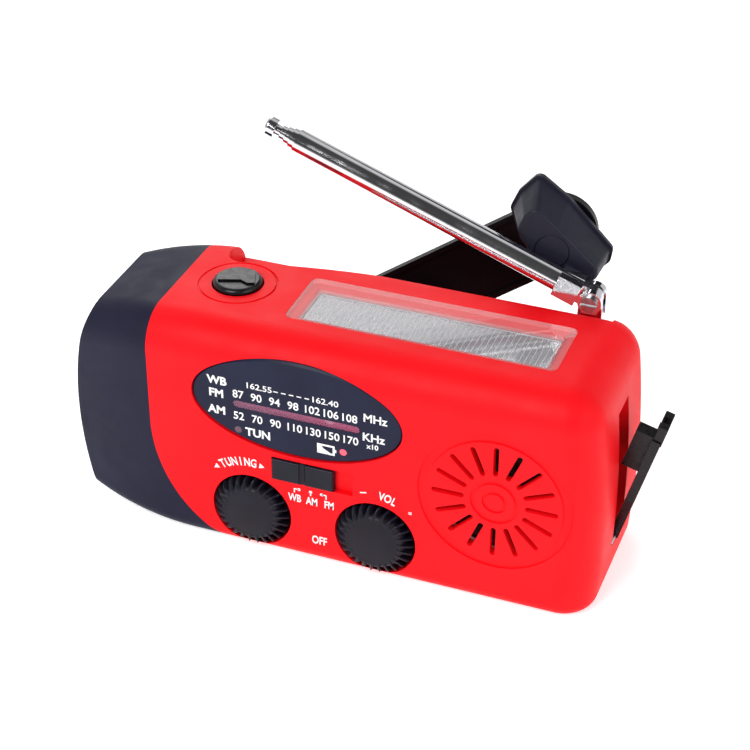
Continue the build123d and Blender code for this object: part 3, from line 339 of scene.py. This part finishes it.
finishOf = {}
for makeFinish, finishes in ((mouldedPlastic, mouldedFinishes), (platedMetal, metalFinishes),
                             (clearPlastic, clearFinishes)):
    for finishName, finishSpec in finishes.items():
        finishOf[finishSpec["slot"]] = makeFinish(finishName, finishSpec)
finishOf[dyedWindow["slot"]] = dyedWindowAcrylic()
finishOf[wafer["slot"]] = coatedSilicon()
finishOf[lampResin["slot"]] = castLampResin()
finishOf[laminate["slot"]] = solderMaskLaminate()
finishOf[winding["slot"]] = enamelledCopper()
whiteInk = paddedInk("whitePadPrint", printInk["low"], printInk["high"])
for entry in frame["record"]["subparts"]:
    part = nodes[entry["node"]]
    part.data.materials.clear()
    part.data.materials.append(finishOf[entry["material_slot"]])
print("finishes", len(finishOf))


def newPiece(name, mesh, material, body):
    piece = bpy.data.objects.new(name, mesh)
    bpy.context.scene.collection.objects.link(piece)
    mesh.materials.clear()
    mesh.materials.append(material)
    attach(piece, body)
    return piece


def onFront(x, z, y, turn=0.0):
    upright = Matrix.Rotation(turn, 4, "Y") @ Matrix.Rotation(math.pi / 2, 4, "X")
    return Matrix.Translation((x * mm, y, z * mm)) @ upright


def letters(target, words, height, where, weight=0.02, squeeze=1.0):
    curve = bpy.data.curves.new("lettering", "FONT")
    curve.body = words
    curve.size = height * mm / 0.7  # capitals are 0.7 of the font's size
    curve.align_x = "CENTER"
    curve.align_y = "CENTER"
    curve.offset = weight * curve.size
    curve.extrude = 0.025 * mm
    curve.resolution_u = 3
    holder = bpy.data.objects.new("lettering", curve)
    bpy.context.scene.collection.objects.link(holder)
    bpy.context.view_layer.update()
    mesh = bpy.data.meshes.new_from_object(holder.evaluated_get(bpy.context.evaluated_depsgraph_get()))
    bpy.data.objects.remove(holder)
    bpy.data.curves.remove(curve)
    mesh.transform(where @ Matrix.Diagonal((squeeze, 1, 1, 1)))
    target.from_mesh(mesh)
    bpy.data.meshes.remove(mesh)


def flatShape(target, corners, where, thick=inkDepth):
    ring = [target.verts.new(where @ Vector((x * mm, y * mm, 0.5 * thick * mm))) for x, y in corners]
    back = [target.verts.new(where @ Vector((x * mm, y * mm, -0.5 * thick * mm))) for x, y in corners]
    target.faces.new(ring)
    target.faces.new(back[::-1])
    for i in range(len(ring)):
        j = (i + 1) % len(ring)
        target.faces.new((ring[i], back[i], back[j], ring[j]))


def bar(target, x0, x1, z0, z1, y):
    flatShape(target, [(x0, z0), (x1, z0), (x1, z1), (x0, z1)], onFront(0, 0, y))


def dot(target, x, z, radius, y, sides=20):
    turn = 2 * math.pi / sides
    flatShape(target, [(radius * math.cos(i * turn), radius * math.sin(i * turn)) for i in range(sides)],
              onFront(x, z, y))


def outline(target, x0, x1, z0, z1, width, y):
    for a, b, c, d in ((x0, x1, z0, z0 + width), (x0, x1, z1 - width, z1),
                       (x0, x0 + width, z0 + width, z1 - width), (x1 - width, x1, z0 + width, z1 - width)):
        bar(target, a, b, c, d, y)


def meshFrom(target, name):
    mesh = bpy.data.meshes.new(name)
    target.to_mesh(mesh)
    target.free()
    return mesh


dialPrint = {
    "proud": 0.03,
    "capital": 2.15, "figure": 2.1, "small": 1.55, "tiny": 1.35,
    "bandNames": (("WB", -31.2, 46.6), ("FM", -31.5, 43.0), ("AM", -31.5, 38.3)),
    "fm": (("87", "90", "94", "98", "102", "106", "108"), -25.9, 4.63, 43.9),
    "am": (("52", "70", "90", "110", "130", "150", "170"), -25.9, 4.67, 37.8),
    "weather": (("162.55", -20.6), ("162.40", -4.1)), "weatherZ": 47.0,
    "units": (("MHz", 8.3, 45.0, "capital"), ("KHz", 7.9, 39.7, "capital"), ("x10", 7.7, 37.3, "tiny")),
    "tun": (-21.1, 33.8), "battery": (-3.9, 33.8, 4.4, 2.7), "batteryLine": 0.5, "batteryTip": 0.4,
    "batteryLevel": ((1.3, -0.95), (-0.6, 0.1), (-1.2, 0.9), (-1.75, 0.9), (-1.75, -0.95)),
}


def makeDialPrint():
    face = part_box("dial_plate")[0][1] - dialPrint["proud"] * mm
    sheet = bmesh.new()
    for words, x, z in dialPrint["bandNames"]:
        letters(sheet, words, dialPrint["capital"], onFront(x, z, face), 0.03)
    for row in ("fm", "am"):
        figures, start, step, z = dialPrint[row]
        for i, words in enumerate(figures):
            letters(sheet, words, dialPrint["figure"], onFront(start + i * step, z, face), 0.012, 0.95)
    for words, x in dialPrint["weather"]:
        letters(sheet, words, dialPrint["small"], onFront(x, dialPrint["weatherZ"], face), 0.01, 1.15)
    for words, x, z, size in dialPrint["units"]:
        letters(sheet, words, dialPrint[size], onFront(x, z, face), 0.02)
    x, z = dialPrint["tun"]
    letters(sheet, "TUN", dialPrint["capital"], onFront(x, z, face), 0.03)
    x, z, wide, tall = dialPrint["battery"]
    outline(sheet, x - wide / 2, x + wide / 2, z - tall / 2, z + tall / 2, dialPrint["batteryLine"], face)
    tip = dialPrint["batteryTip"]
    bar(sheet, x + wide / 2, x + wide / 2 + tip, z - tip, z + tip, face)
    flatShape(sheet, dialPrint["batteryLevel"], onFront(x, z, face))
    newPiece("dial_print", meshFrom(sheet, "dialPrint"), whiteInk, "case")


frontPrint = {
    "faceY": -22.54, "mark": dict(radius=0.42, lift=0.2, reach=1.3, drop=0.9, half=0.15, gap=0.1),
    "capital": 2.3, "narrow": 0.68, "knobs": {"tuning": (-23.2, 11.2), "volume": (8.5, 11.2)},
    "tuning": ("TUNING", 14.0, -13.8, 6.9), "tuningArrows": (-39.5, 11.9),
    "volume": ("VOL", 12.9, 14.2, 7.0), "minusAt": -13.0, "plusAt": 41.5, "signRadius": 13.2,
    "minus": (0.8, 0.16), "plus": (0.45, 0.14), "arrow": (0.55, 0.75),
    "bands": (("WB", -11.9), ("AM", -7.5), ("FM", -3.1)), "bandZ": 17.85, "bandHeight": 2.1,
    "marks": (-10.8, -7.8, -5.0), "markZ": 20.4, "off": (-5.7, 6.6),
}


def arcPlace(knob, radius, degrees, y):
    x, z = frontPrint["knobs"][knob]
    angle = math.radians(degrees)
    return onFront(x + radius * math.sin(angle), z + radius * math.cos(angle), y, angle)


def makeFrontPrint():
    face = frontPrint["faceY"] * mm
    sheet = bmesh.new()
    for knob in ("tuning", "volume"):
        words, radius, middle, step = frontPrint[knob]
        for i, letter in enumerate(words):
            turn = middle + (i - (len(words) - 1) / 2) * step
            letters(sheet, letter, frontPrint["capital"], arcPlace(knob, radius, turn, face), 0.02,
                    frontPrint["narrow"])
    back, tip = frontPrint["arrow"]
    for turn, side in zip(frontPrint["tuningArrows"], (-1, 1)):
        flatShape(sheet, [(-back * side, tip), (-back * side, -tip), (tip * side, 0)][::-side],
                  arcPlace("tuning", frontPrint["tuning"][1], turn, face))
    wide, tall = frontPrint["plus"]
    for size, turn in ((frontPrint["minus"], "minusAt"), ((wide, tall), "plusAt"), ((tall, wide), "plusAt")):
        wide, tall = size
        flatShape(sheet, [(-wide, -tall), (wide, -tall), (wide, tall), (-wide, tall)],
                  arcPlace("volume", frontPrint["signRadius"], frontPrint[turn], face))
    for words, x in frontPrint["bands"]:
        letters(sheet, words, frontPrint["bandHeight"], onFront(x, frontPrint["bandZ"], face), 0.02,
                frontPrint["narrow"])
    z, mark = frontPrint["markZ"], frontPrint["mark"]
    line, half = z + mark["lift"], mark["half"]
    for x, side in zip(frontPrint["marks"], (-1, 0, 1)):  # a dot with a short lead to its band's name
        dot(sheet, x, line, mark["radius"], face)
        if side:
            end = x + side * mark["reach"]
            bar(sheet, min(x, end), max(x, end), line - half, line + half, face)
            near = end - side * 2 * half
            bar(sheet, min(near, end), max(near, end), z - mark["drop"], line - half, face)
        else:
            bar(sheet, x - half, x + half, z - mark["drop"], z - mark["gap"], face)
    x, z = frontPrint["off"]
    letters(sheet, "OFF", frontPrint["capital"], onFront(x, z, face), 0.02, frontPrint["narrow"])
    newPiece("front_print", meshFrom(sheet, "frontPrint"), whiteInk, "case")


pointerTip = {"at": (-3.4, 41.15), "back": -20.25, "front": -21.05, "outline": ((1.1, 0.2), (0.7, 0.75))}


def makePointerTip():
    x, z = pointerTip["at"]
    (wide, low), (narrow, high) = pointerTip["outline"]
    corners = [(wide, -low), (wide, low), (narrow, high), (-narrow, high), (-wide, low), (-wide, -low),
               (-narrow, -high), (narrow, -high)]
    sheet = bmesh.new()
    middle = (pointerTip["back"] + pointerTip["front"]) / 2 * mm
    flatShape(sheet, corners, onFront(x, z, middle), pointerTip["back"] - pointerTip["front"])
    newPiece("pointer_tip", meshFrom(sheet, "pointerTip"), finishOf["pointer_white"], "dial_pointer")


makeDialPrint()
makeFrontPrint()
makePointerTip()
print("print done")


def openTree(name, inputs, output):
    tree = bpy.data.node_groups.new(name, "GeometryNodeTree")
    ids = {label: tree.interface.new_socket(label, in_out="INPUT", socket_type="NodeSocket" + kind).identifier
           for label, kind in inputs}
    tree.interface.new_socket(output, in_out="OUTPUT", socket_type="NodeSocketGeometry")
    return tree, ids, addNode(tree, "NodeGroupInput").outputs


def closeTree(tree, placed, finish):
    solid = addNode(tree, "GeometryNodeRealizeInstances", links={0: placed})
    coloured = addNode(tree, "GeometryNodeSetMaterial",
                       links={"Geometry": solid.outputs[0], "Material": finish})
    addNode(tree, "NodeGroupOutput", links={0: coloured.outputs[0]})


# rows of bars: the solar fingers and the dial dashes come from one tree
def buildBarRow():
    tree, ids, given = openTree("barRow", (("Count", "Int"), ("Pitch", "Vector"), ("Start", "Vector"),
                                           ("Size", "Vector"), ("Finish", "Material")), "Bars")
    line = addNode(tree, "GeometryNodeMeshLine", {"mode": "OFFSET"},
                   links={"Count": given["Count"], "Start Location": given["Start"], "Offset": given["Pitch"]})
    block = addNode(tree, "GeometryNodeMeshCube", links={"Size": given["Size"]})
    placed = addNode(tree, "GeometryNodeInstanceOnPoints",
                     links={"Points": line.outputs[0], "Instance": block.outputs[0]})
    closeTree(tree, placed.outputs[0], given["Finish"])
    return tree, ids


def growMesh(name, tree, ids, values):
    seed = bpy.data.meshes.new(name)
    seed.from_pydata([(0, 0, 0)], [], [])
    holder = bpy.data.objects.new(name, seed)
    bpy.context.scene.collection.objects.link(holder)
    modifier = holder.modifiers.new("grow", "NODES")
    modifier.node_group = tree
    for label, value in values.items():
        modifier[ids[label]] = value
    bpy.context.view_layer.update()
    mesh = bpy.data.meshes.new_from_object(holder.evaluated_get(bpy.context.evaluated_depsgraph_get()))
    holder.modifiers.remove(modifier)
    bpy.data.objects.remove(holder)
    return mesh


# knobs: a flat-faced body with curved grip ribs set round it by Geometry Nodes
knobShape = {
    "ribs": 26, "faceRadius": 6.5, "baseRadius": 7.9, "ribRadius": 9.95, "faceY": -24.2, "backY": -19.3,
    "shoulderY": -21.6, "ribWidth": 1.3, "sweep": 9.0, "rings": 7, "sides": 96, "taper": 0.65,
    "rootIn": (0.5, 0.4), "faceOut": 0.15, "crest": 0.35, "backGap": 0.3, "edge": 0.12,
    "knobs": (("tuning_knob", (-23.2, 11.2)), ("volume_knob", (8.5, 11.2))),
}


def buildRibRing():
    tree, ids, given = openTree("ribRing", (("Rib", "Geometry"), ("Count", "Int"), ("Centre", "Vector"),
                                            ("Finish", "Material")), "Ring")
    line = addNode(tree, "GeometryNodeMeshLine", {"mode": "OFFSET"}, {"Offset": (0, 0, 0)},
                   {"Count": given["Count"], "Start Location": given["Centre"]})
    index = addNode(tree, "GeometryNodeInputIndex")
    share = addNode(tree, "ShaderNodeMath", {"operation": "DIVIDE"}, None,
                    {0: index.outputs[0], 1: given["Count"]})
    angle = addNode(tree, "ShaderNodeMath", {"operation": "MULTIPLY"}, {1: 2 * math.pi},
                    {0: share.outputs[0]})
    turn = addNode(tree, "ShaderNodeCombineXYZ", links={"Y": angle.outputs[0]})
    placed = addNode(tree, "GeometryNodeInstanceOnPoints",
                     links={"Points": line.outputs[0], "Instance": given["Rib"], "Rotation": turn.outputs[0]})
    closeTree(tree, placed.outputs[0], given["Finish"])
    return tree, ids


def knobProfile(share, face, base):  # radius and depth on the way from the face's edge to the shoulder
    y0, y1 = knobShape["faceY"], knobShape["shoulderY"]
    angle = share * math.pi / 2
    return face + (base - face) * math.sin(angle), y0 + (y1 - y0) * (1 - math.cos(angle))


def ribMesh():
    rib = bmesh.new()
    rows = []
    rings = knobShape["rings"]
    half = knobShape["ribWidth"] / 2
    faceIn, baseIn = knobShape["rootIn"]
    taper = knobShape["taper"]
    for i in range(rings + 2):
        share = min(1.0, i / rings)
        inner, y = knobProfile(share, knobShape["faceRadius"] - faceIn, knobShape["baseRadius"] - baseIn)
        outer, y = knobProfile(share, knobShape["faceRadius"] + knobShape["faceOut"], knobShape["ribRadius"])
        if i > rings:
            y = knobShape["backY"] + knobShape["backGap"]
        lean = math.radians(knobShape["sweep"]) * share
        wide = half * (taper + (1 - taper) * share)
        row = []
        for radius, across in ((inner, -wide), (outer - knobShape["crest"], -wide * 0.75),
                               (outer, -wide * 0.25), (outer, wide * 0.1), (inner, wide)):
            a = lean + across / max(radius, 1)
            row.append(rib.verts.new((radius * math.sin(a) * mm, y * mm, radius * math.cos(a) * mm)))
        rows.append(row)
    for low, high in zip(rows, rows[1:]):
        for i in range(5):
            j = (i + 1) % 5
            rib.faces.new((low[i], low[j], high[j], high[i]))
    rib.faces.new(rows[0][::-1])
    rib.faces.new(rows[-1])
    bmesh.ops.recalc_face_normals(rib, faces=list(rib.faces))
    return rib


def knobBody():
    body = bmesh.new()
    sides = knobShape["sides"]
    outline = [(knobShape["faceRadius"] - 0.5, knobShape["faceY"])]
    outline += [knobProfile(i / 6, knobShape["faceRadius"], knobShape["baseRadius"]) for i in range(7)]
    outline += [(knobShape["baseRadius"], knobShape["backY"])]
    outline[1] = (knobShape["faceRadius"], knobShape["faceY"] + knobShape["edge"])
    rows = [[body.verts.new((r * math.sin(2 * math.pi * k / sides) * mm, y * mm,
                             r * math.cos(2 * math.pi * k / sides) * mm))
             for k in range(sides)] for r, y in outline]
    for low, high in zip(rows, rows[1:]):
        for k in range(sides):
            body.faces.new((low[k], low[(k + 1) % sides], high[(k + 1) % sides], high[k]))
    body.faces.new(rows[0])
    body.faces.new(rows[-1][::-1])
    bmesh.ops.recalc_face_normals(body, faces=list(body.faces))
    return body


def makeKnobs():
    tree, ids = buildRibRing()
    finish = finishOf["knob_abs"]
    for node, (x, z) in knobShape["knobs"]:
        rib = meshFrom(ribMesh(), "rib")
        holder = bpy.data.objects.new("ribs", rib)
        bpy.context.scene.collection.objects.link(holder)
        modifier = holder.modifiers.new("ring", "NODES")
        modifier.node_group = tree
        modifier[ids["Count"]] = knobShape["ribs"]
        modifier[ids["Centre"]] = (x * mm, 0.0, z * mm)
        modifier[ids["Finish"]] = finish
        bpy.context.view_layer.update()
        ribs = bpy.data.meshes.new_from_object(holder.evaluated_get(bpy.context.evaluated_depsgraph_get()))
        holder.modifiers.remove(modifier)
        bpy.data.objects.remove(holder)
        whole = knobBody()
        bmesh.ops.translate(whole, verts=list(whole.verts), vec=(x * mm, 0, z * mm))
        whole.from_mesh(ribs)
        mesh = meshFrom(whole, node)
        piece = newPiece(node + "_grip", mesh, finish, node)
        mesh.shade_smooth()
        mesh.set_sharp_from_angle(angle=math.radians(35))
        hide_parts(node)


makeKnobs()
print("knobs done")

solarFingers = {"pitch": 1.25, "width": 0.12, "thick": 0.04, "margin": 0.7, "frame": 0.35}
dialDashes = {"count": 5, "pitch": 1.95, "start": (-16.3, 46.9), "size": (1.15, 0.28)}
barRow, barIds = buildBarRow()
(cellLowX, cellLowY, cellLowZ), (cellHighX, cellHighY, cellHighZ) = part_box("solar_cell")
# screen-printed silver on the wafer: pale grey and matt
silverPaste = paddedInk("silverPasteLines", "#B9B9C4", "#D6D6DE")


def makeSolarLines():
    margin = solarFingers["margin"] * mm
    length = cellHighX - cellLowX - 2 * margin
    count = int(length / (solarFingers["pitch"] * mm)) + 1
    top = cellHighZ + solarFingers["thick"] * mm / 2
    mesh = growMesh("fingers", barRow, barIds, {
        "Count": count, "Pitch": (length / (count - 1), 0.0, 0.0),
        "Start": (cellLowX + margin, (cellLowY + cellHighY) / 2, top),
        "Size": (solarFingers["width"] * mm, cellHighY - cellLowY - 2 * margin,
                 solarFingers["thick"] * mm), "Finish": silverPaste})
    newPiece("solar_fingers", mesh, silverPaste, "case")
    edge = solarFingers["frame"] * mm
    sheet = bmesh.new()
    x0, x1, y0, y1 = cellLowX + edge, cellHighX - edge, cellLowY + edge, cellHighY - edge
    for a, b, c, d in ((x0, x1, y0, y0 + edge), (x0, x1, y1 - edge, y1), (x0, x0 + edge, y0, y1),
                       (x1 - edge, x1, y0, y1)):
        flatShape(sheet, [(a / mm, c / mm), (b / mm, c / mm), (b / mm, d / mm), (a / mm, d / mm)],
                  Matrix.Translation((0, 0, cellHighZ + 0.02 * mm)), 0.04)
    newPiece("solar_border", meshFrom(sheet, "solarBorder"), silverPaste, "case")


def makeDialDashes():
    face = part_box("dial_plate")[0][1] - dialPrint["proud"] * mm
    x, z = dialDashes["start"]
    wide, tall = dialDashes["size"]
    mesh = growMesh("dashes", barRow, barIds, {
        "Count": dialDashes["count"], "Pitch": (dialDashes["pitch"] * mm, 0.0, 0.0),
        "Start": (x * mm, face, z * mm),
        "Size": (wide * mm, inkDepth * mm, tall * mm), "Finish": whiteInk})
    newPiece("dial_dashes", mesh, whiteInk, "case")


makeSolarLines()
makeDialDashes()
print("bar rows done")

# torch key's raised sign: a small torch, wrapped on the rubber dome
torchSign = {"lift": 0.5, "turn": 20.0, "centre": (-35.1, 0.0),
             "outline": ((-4.7, -1.4), (0.8, -1.4), (2.4, -2.9), (4.2, -2.9), (4.2, 2.9), (2.4, 2.9),
                         (0.8, 1.4), (-4.7, 1.4)), "step": 0.35}


def makeTorchSign():
    key = nodes["torch_button"]
    tree = BVHTree.FromObject(key, bpy.context.evaluated_depsgraph_get())
    grid = bmesh.new()
    angle = math.radians(torchSign["turn"])
    cx, cy = torchSign["centre"]
    corners = torchSign["outline"]
    loop = []
    for i in range(len(corners)):
        (x0, y0), (x1, y1) = corners[i], corners[(i + 1) % len(corners)]
        parts = max(1, int(math.hypot(x1 - x0, y1 - y0) / torchSign["step"]))
        loop += [(x0 + (x1 - x0) * k / parts, y0 + (y1 - y0) * k / parts) for k in range(parts)]
    flat = grid.faces.new([grid.verts.new((x * mm, y * mm, 0)) for x, y in loop])
    bmesh.ops.triangulate(grid, faces=[flat])
    bmesh.ops.subdivide_edges(grid, edges=[e for e in grid.edges if e.calc_length() > 1.2 * mm], cuts=2)
    extruded = bmesh.ops.extrude_face_region(grid, geom=list(grid.faces))
    top = {v for v in extruded["geom"] if isinstance(v, bmesh.types.BMVert)}
    turn = Matrix.Rotation(angle, 4, "Z")
    for v in grid.verts:
        spot = turn @ v.co
        x, y = spot.x + cx * mm, spot.y + cy * mm
        hit = tree.ray_cast(Vector((x, y, 0.09)), Vector((0, 0, -1)))[0]
        v.co = Vector((x, y, hit.z + (torchSign["lift"] if v in top else -0.05) * mm))
    bmesh.ops.recalc_face_normals(grid, faces=list(grid.faces))
    newPiece("torch_sign", meshFrom(grid, "torchSign"), finishOf["black_rubber"], "torch_button")


makeTorchSign()
print("torch sign done")

studio = {"floor": 6.0, "floorColor": "#F4F3F5", "floorGlow": 0.52, "horizon": 0.85, "band": 0.08,
          "darkAim": (-0.62, 0.78),
          "screenLean": 1.8, "screenEdges": (-1.204, 0.45, 0.5), "screenColor": (0.02, 0.02, 0.025, 1),
          "fade": (0.55, 0.75), "strength": 0.9,
          "key": dict(at=(-0.30, -0.95, 0.95), aim=(0, 0, 0.03), size=0.6, power=12.0),
          "fill": dict(at=(0.9, -0.4, 0.6), aim=(0, 0, 0.03), size=0.6, power=3.0),
          "back": dict(at=(-0.42, 0.80, 0.62), aim=(0, 0, 0.06), size=0.5, power=2.5)}


def makeStudio():
    sheet = bmesh.new()
    half = studio["floor"] / 2
    sheet.faces.new([sheet.verts.new((x, y, -0.00005)) for x,
                     y in ((-half, -half), (half, -half), (half, half), (-half, half))])
    floor = bpy.data.objects.new("studio_floor", meshFrom(sheet, "studioFloor"))
    bpy.context.scene.collection.objects.link(floor)
    material, tree, place = blankMaterial("paperSweep")
    tooth = addNode(tree, "ShaderNodeTexNoise", values={"Scale": 300.0}, links={"Vector": place})
    shader = addNode(tree, "ShaderNodeBsdfPrincipled", values={"Roughness": 0.8, "Specular IOR Level": 0.2,
                                                               "Emission Color": (1, 1, 1, 1),
                                                               "Emission Strength": studio["floorGlow"]},
                     links={"Base Color": twoTone(tree, tooth.outputs[0], studio["floorColor"], "#FBFBFC")})
    closeMaterial(tree, shader)
    floor.data.materials.append(material)
    world = bpy.data.worlds.new("softRoom")
    bpy.context.scene.world = world
    world.use_nodes = True
    room = world.node_tree
    room.nodes.clear()
    place = addNode(room, "ShaderNodeTexCoord")
    axes = addNode(room, "ShaderNodeSeparateXYZ", links={0: place.outputs["Generated"]})
    front = addNode(room, "ShaderNodeMath", {"operation": "MULTIPLY"}, {1: studio["darkAim"][0]},
                    {0: axes.outputs[1]})
    toward = addNode(room, "ShaderNodeMath", {"operation": "MULTIPLY_ADD"}, {1: studio["darkAim"][1]},
                     {0: axes.outputs[2], 2: front.outputs[0]})
    ramp = addNode(room, "ShaderNodeValToRGB", links={0: toward.outputs[0]})
    light, dark = studio["fade"]
    stops = ((0.0, studio["horizon"]), (light, studio["horizon"]), (dark, studio["band"]),
             (1.0, studio["band"]))
    while len(ramp.color_ramp.elements) < len(stops):
        ramp.color_ramp.elements.new(0.5)
    for element, (stop, grey) in zip(ramp.color_ramp.elements, stops):
        element.position = stop
        element.color = (grey, grey, grey, 1)
    # a dark screen at the back right gives the shiny parts some contrast
    lean = addNode(room, "ShaderNodeMath", {"operation": "MULTIPLY_ADD"}, {1: -studio["screenLean"]},
                   {0: axes.outputs[2], 2: axes.outputs[0]})
    shade = None
    for source, limit in zip((lean.outputs[0], axes.outputs[2], axes.outputs[1]), studio["screenEdges"]):
        step = addNode(room, "ShaderNodeMath", {"operation": "GREATER_THAN"}, {1: limit}, {0: source})
        shade = step if shade is None else addNode(room, "ShaderNodeMath", {"operation": "MULTIPLY"}, None,
                                                   {0: shade.outputs[0], 1: step.outputs[0]})
    screened = addNode(room, "ShaderNodeMix", {"data_type": "RGBA"}, None,
                       {0: shade.outputs[0], 6: ramp.outputs[0]})
    screened.inputs[7].default_value = studio["screenColor"]
    background = addNode(room, "ShaderNodeBackground", values={"Strength": studio["strength"]},
                         links={"Color": screened.outputs[2]})
    addNode(room, "ShaderNodeOutputWorld", links={"Surface": background.outputs[0]})
    for name in ("key", "fill", "back"):
        spec = studio[name]
        light = bpy.data.lights.new(name + "Softbox", "AREA")
        light.shape = "SQUARE"
        light.size = spec["size"]
        light.energy = spec["power"]
        lamp = bpy.data.objects.new(name + "Softbox", light)
        lamp.location = spec["at"]
        lamp.rotation_euler = (Vector(spec["aim"]) - Vector(spec["at"])).to_track_quat("-Z", "Y").to_euler()
        bpy.context.scene.collection.objects.link(lamp)


cameraRig = {"at": (138.78, -370.84, 302.38), "aim": (-0.04, 0.0, 41.85), "roll": 0.218, "lens": 95.26,
             "sensor": 36.0}


def makeCamera():
    data = bpy.data.cameras.new("stillCamera")
    data.lens = cameraRig["lens"]
    data.sensor_width = cameraRig["sensor"]
    data.clip_start = 0.01
    data.clip_end = 50.0
    camera = bpy.data.objects.new("stillCamera", data)
    at, aim = (Vector(cameraRig[k]) * mm for k in ("at", "aim"))
    roll = Matrix.Rotation(math.radians(cameraRig["roll"]), 3, "Z")
    turn = (aim - at).to_track_quat("-Z", "Y").to_matrix() @ roll
    camera.location = at
    camera.rotation_euler = turn.to_euler()
    bpy.context.scene.collection.objects.link(camera)
    bpy.context.scene.camera = camera


makeStudio()
makeCamera()
print("studio done")
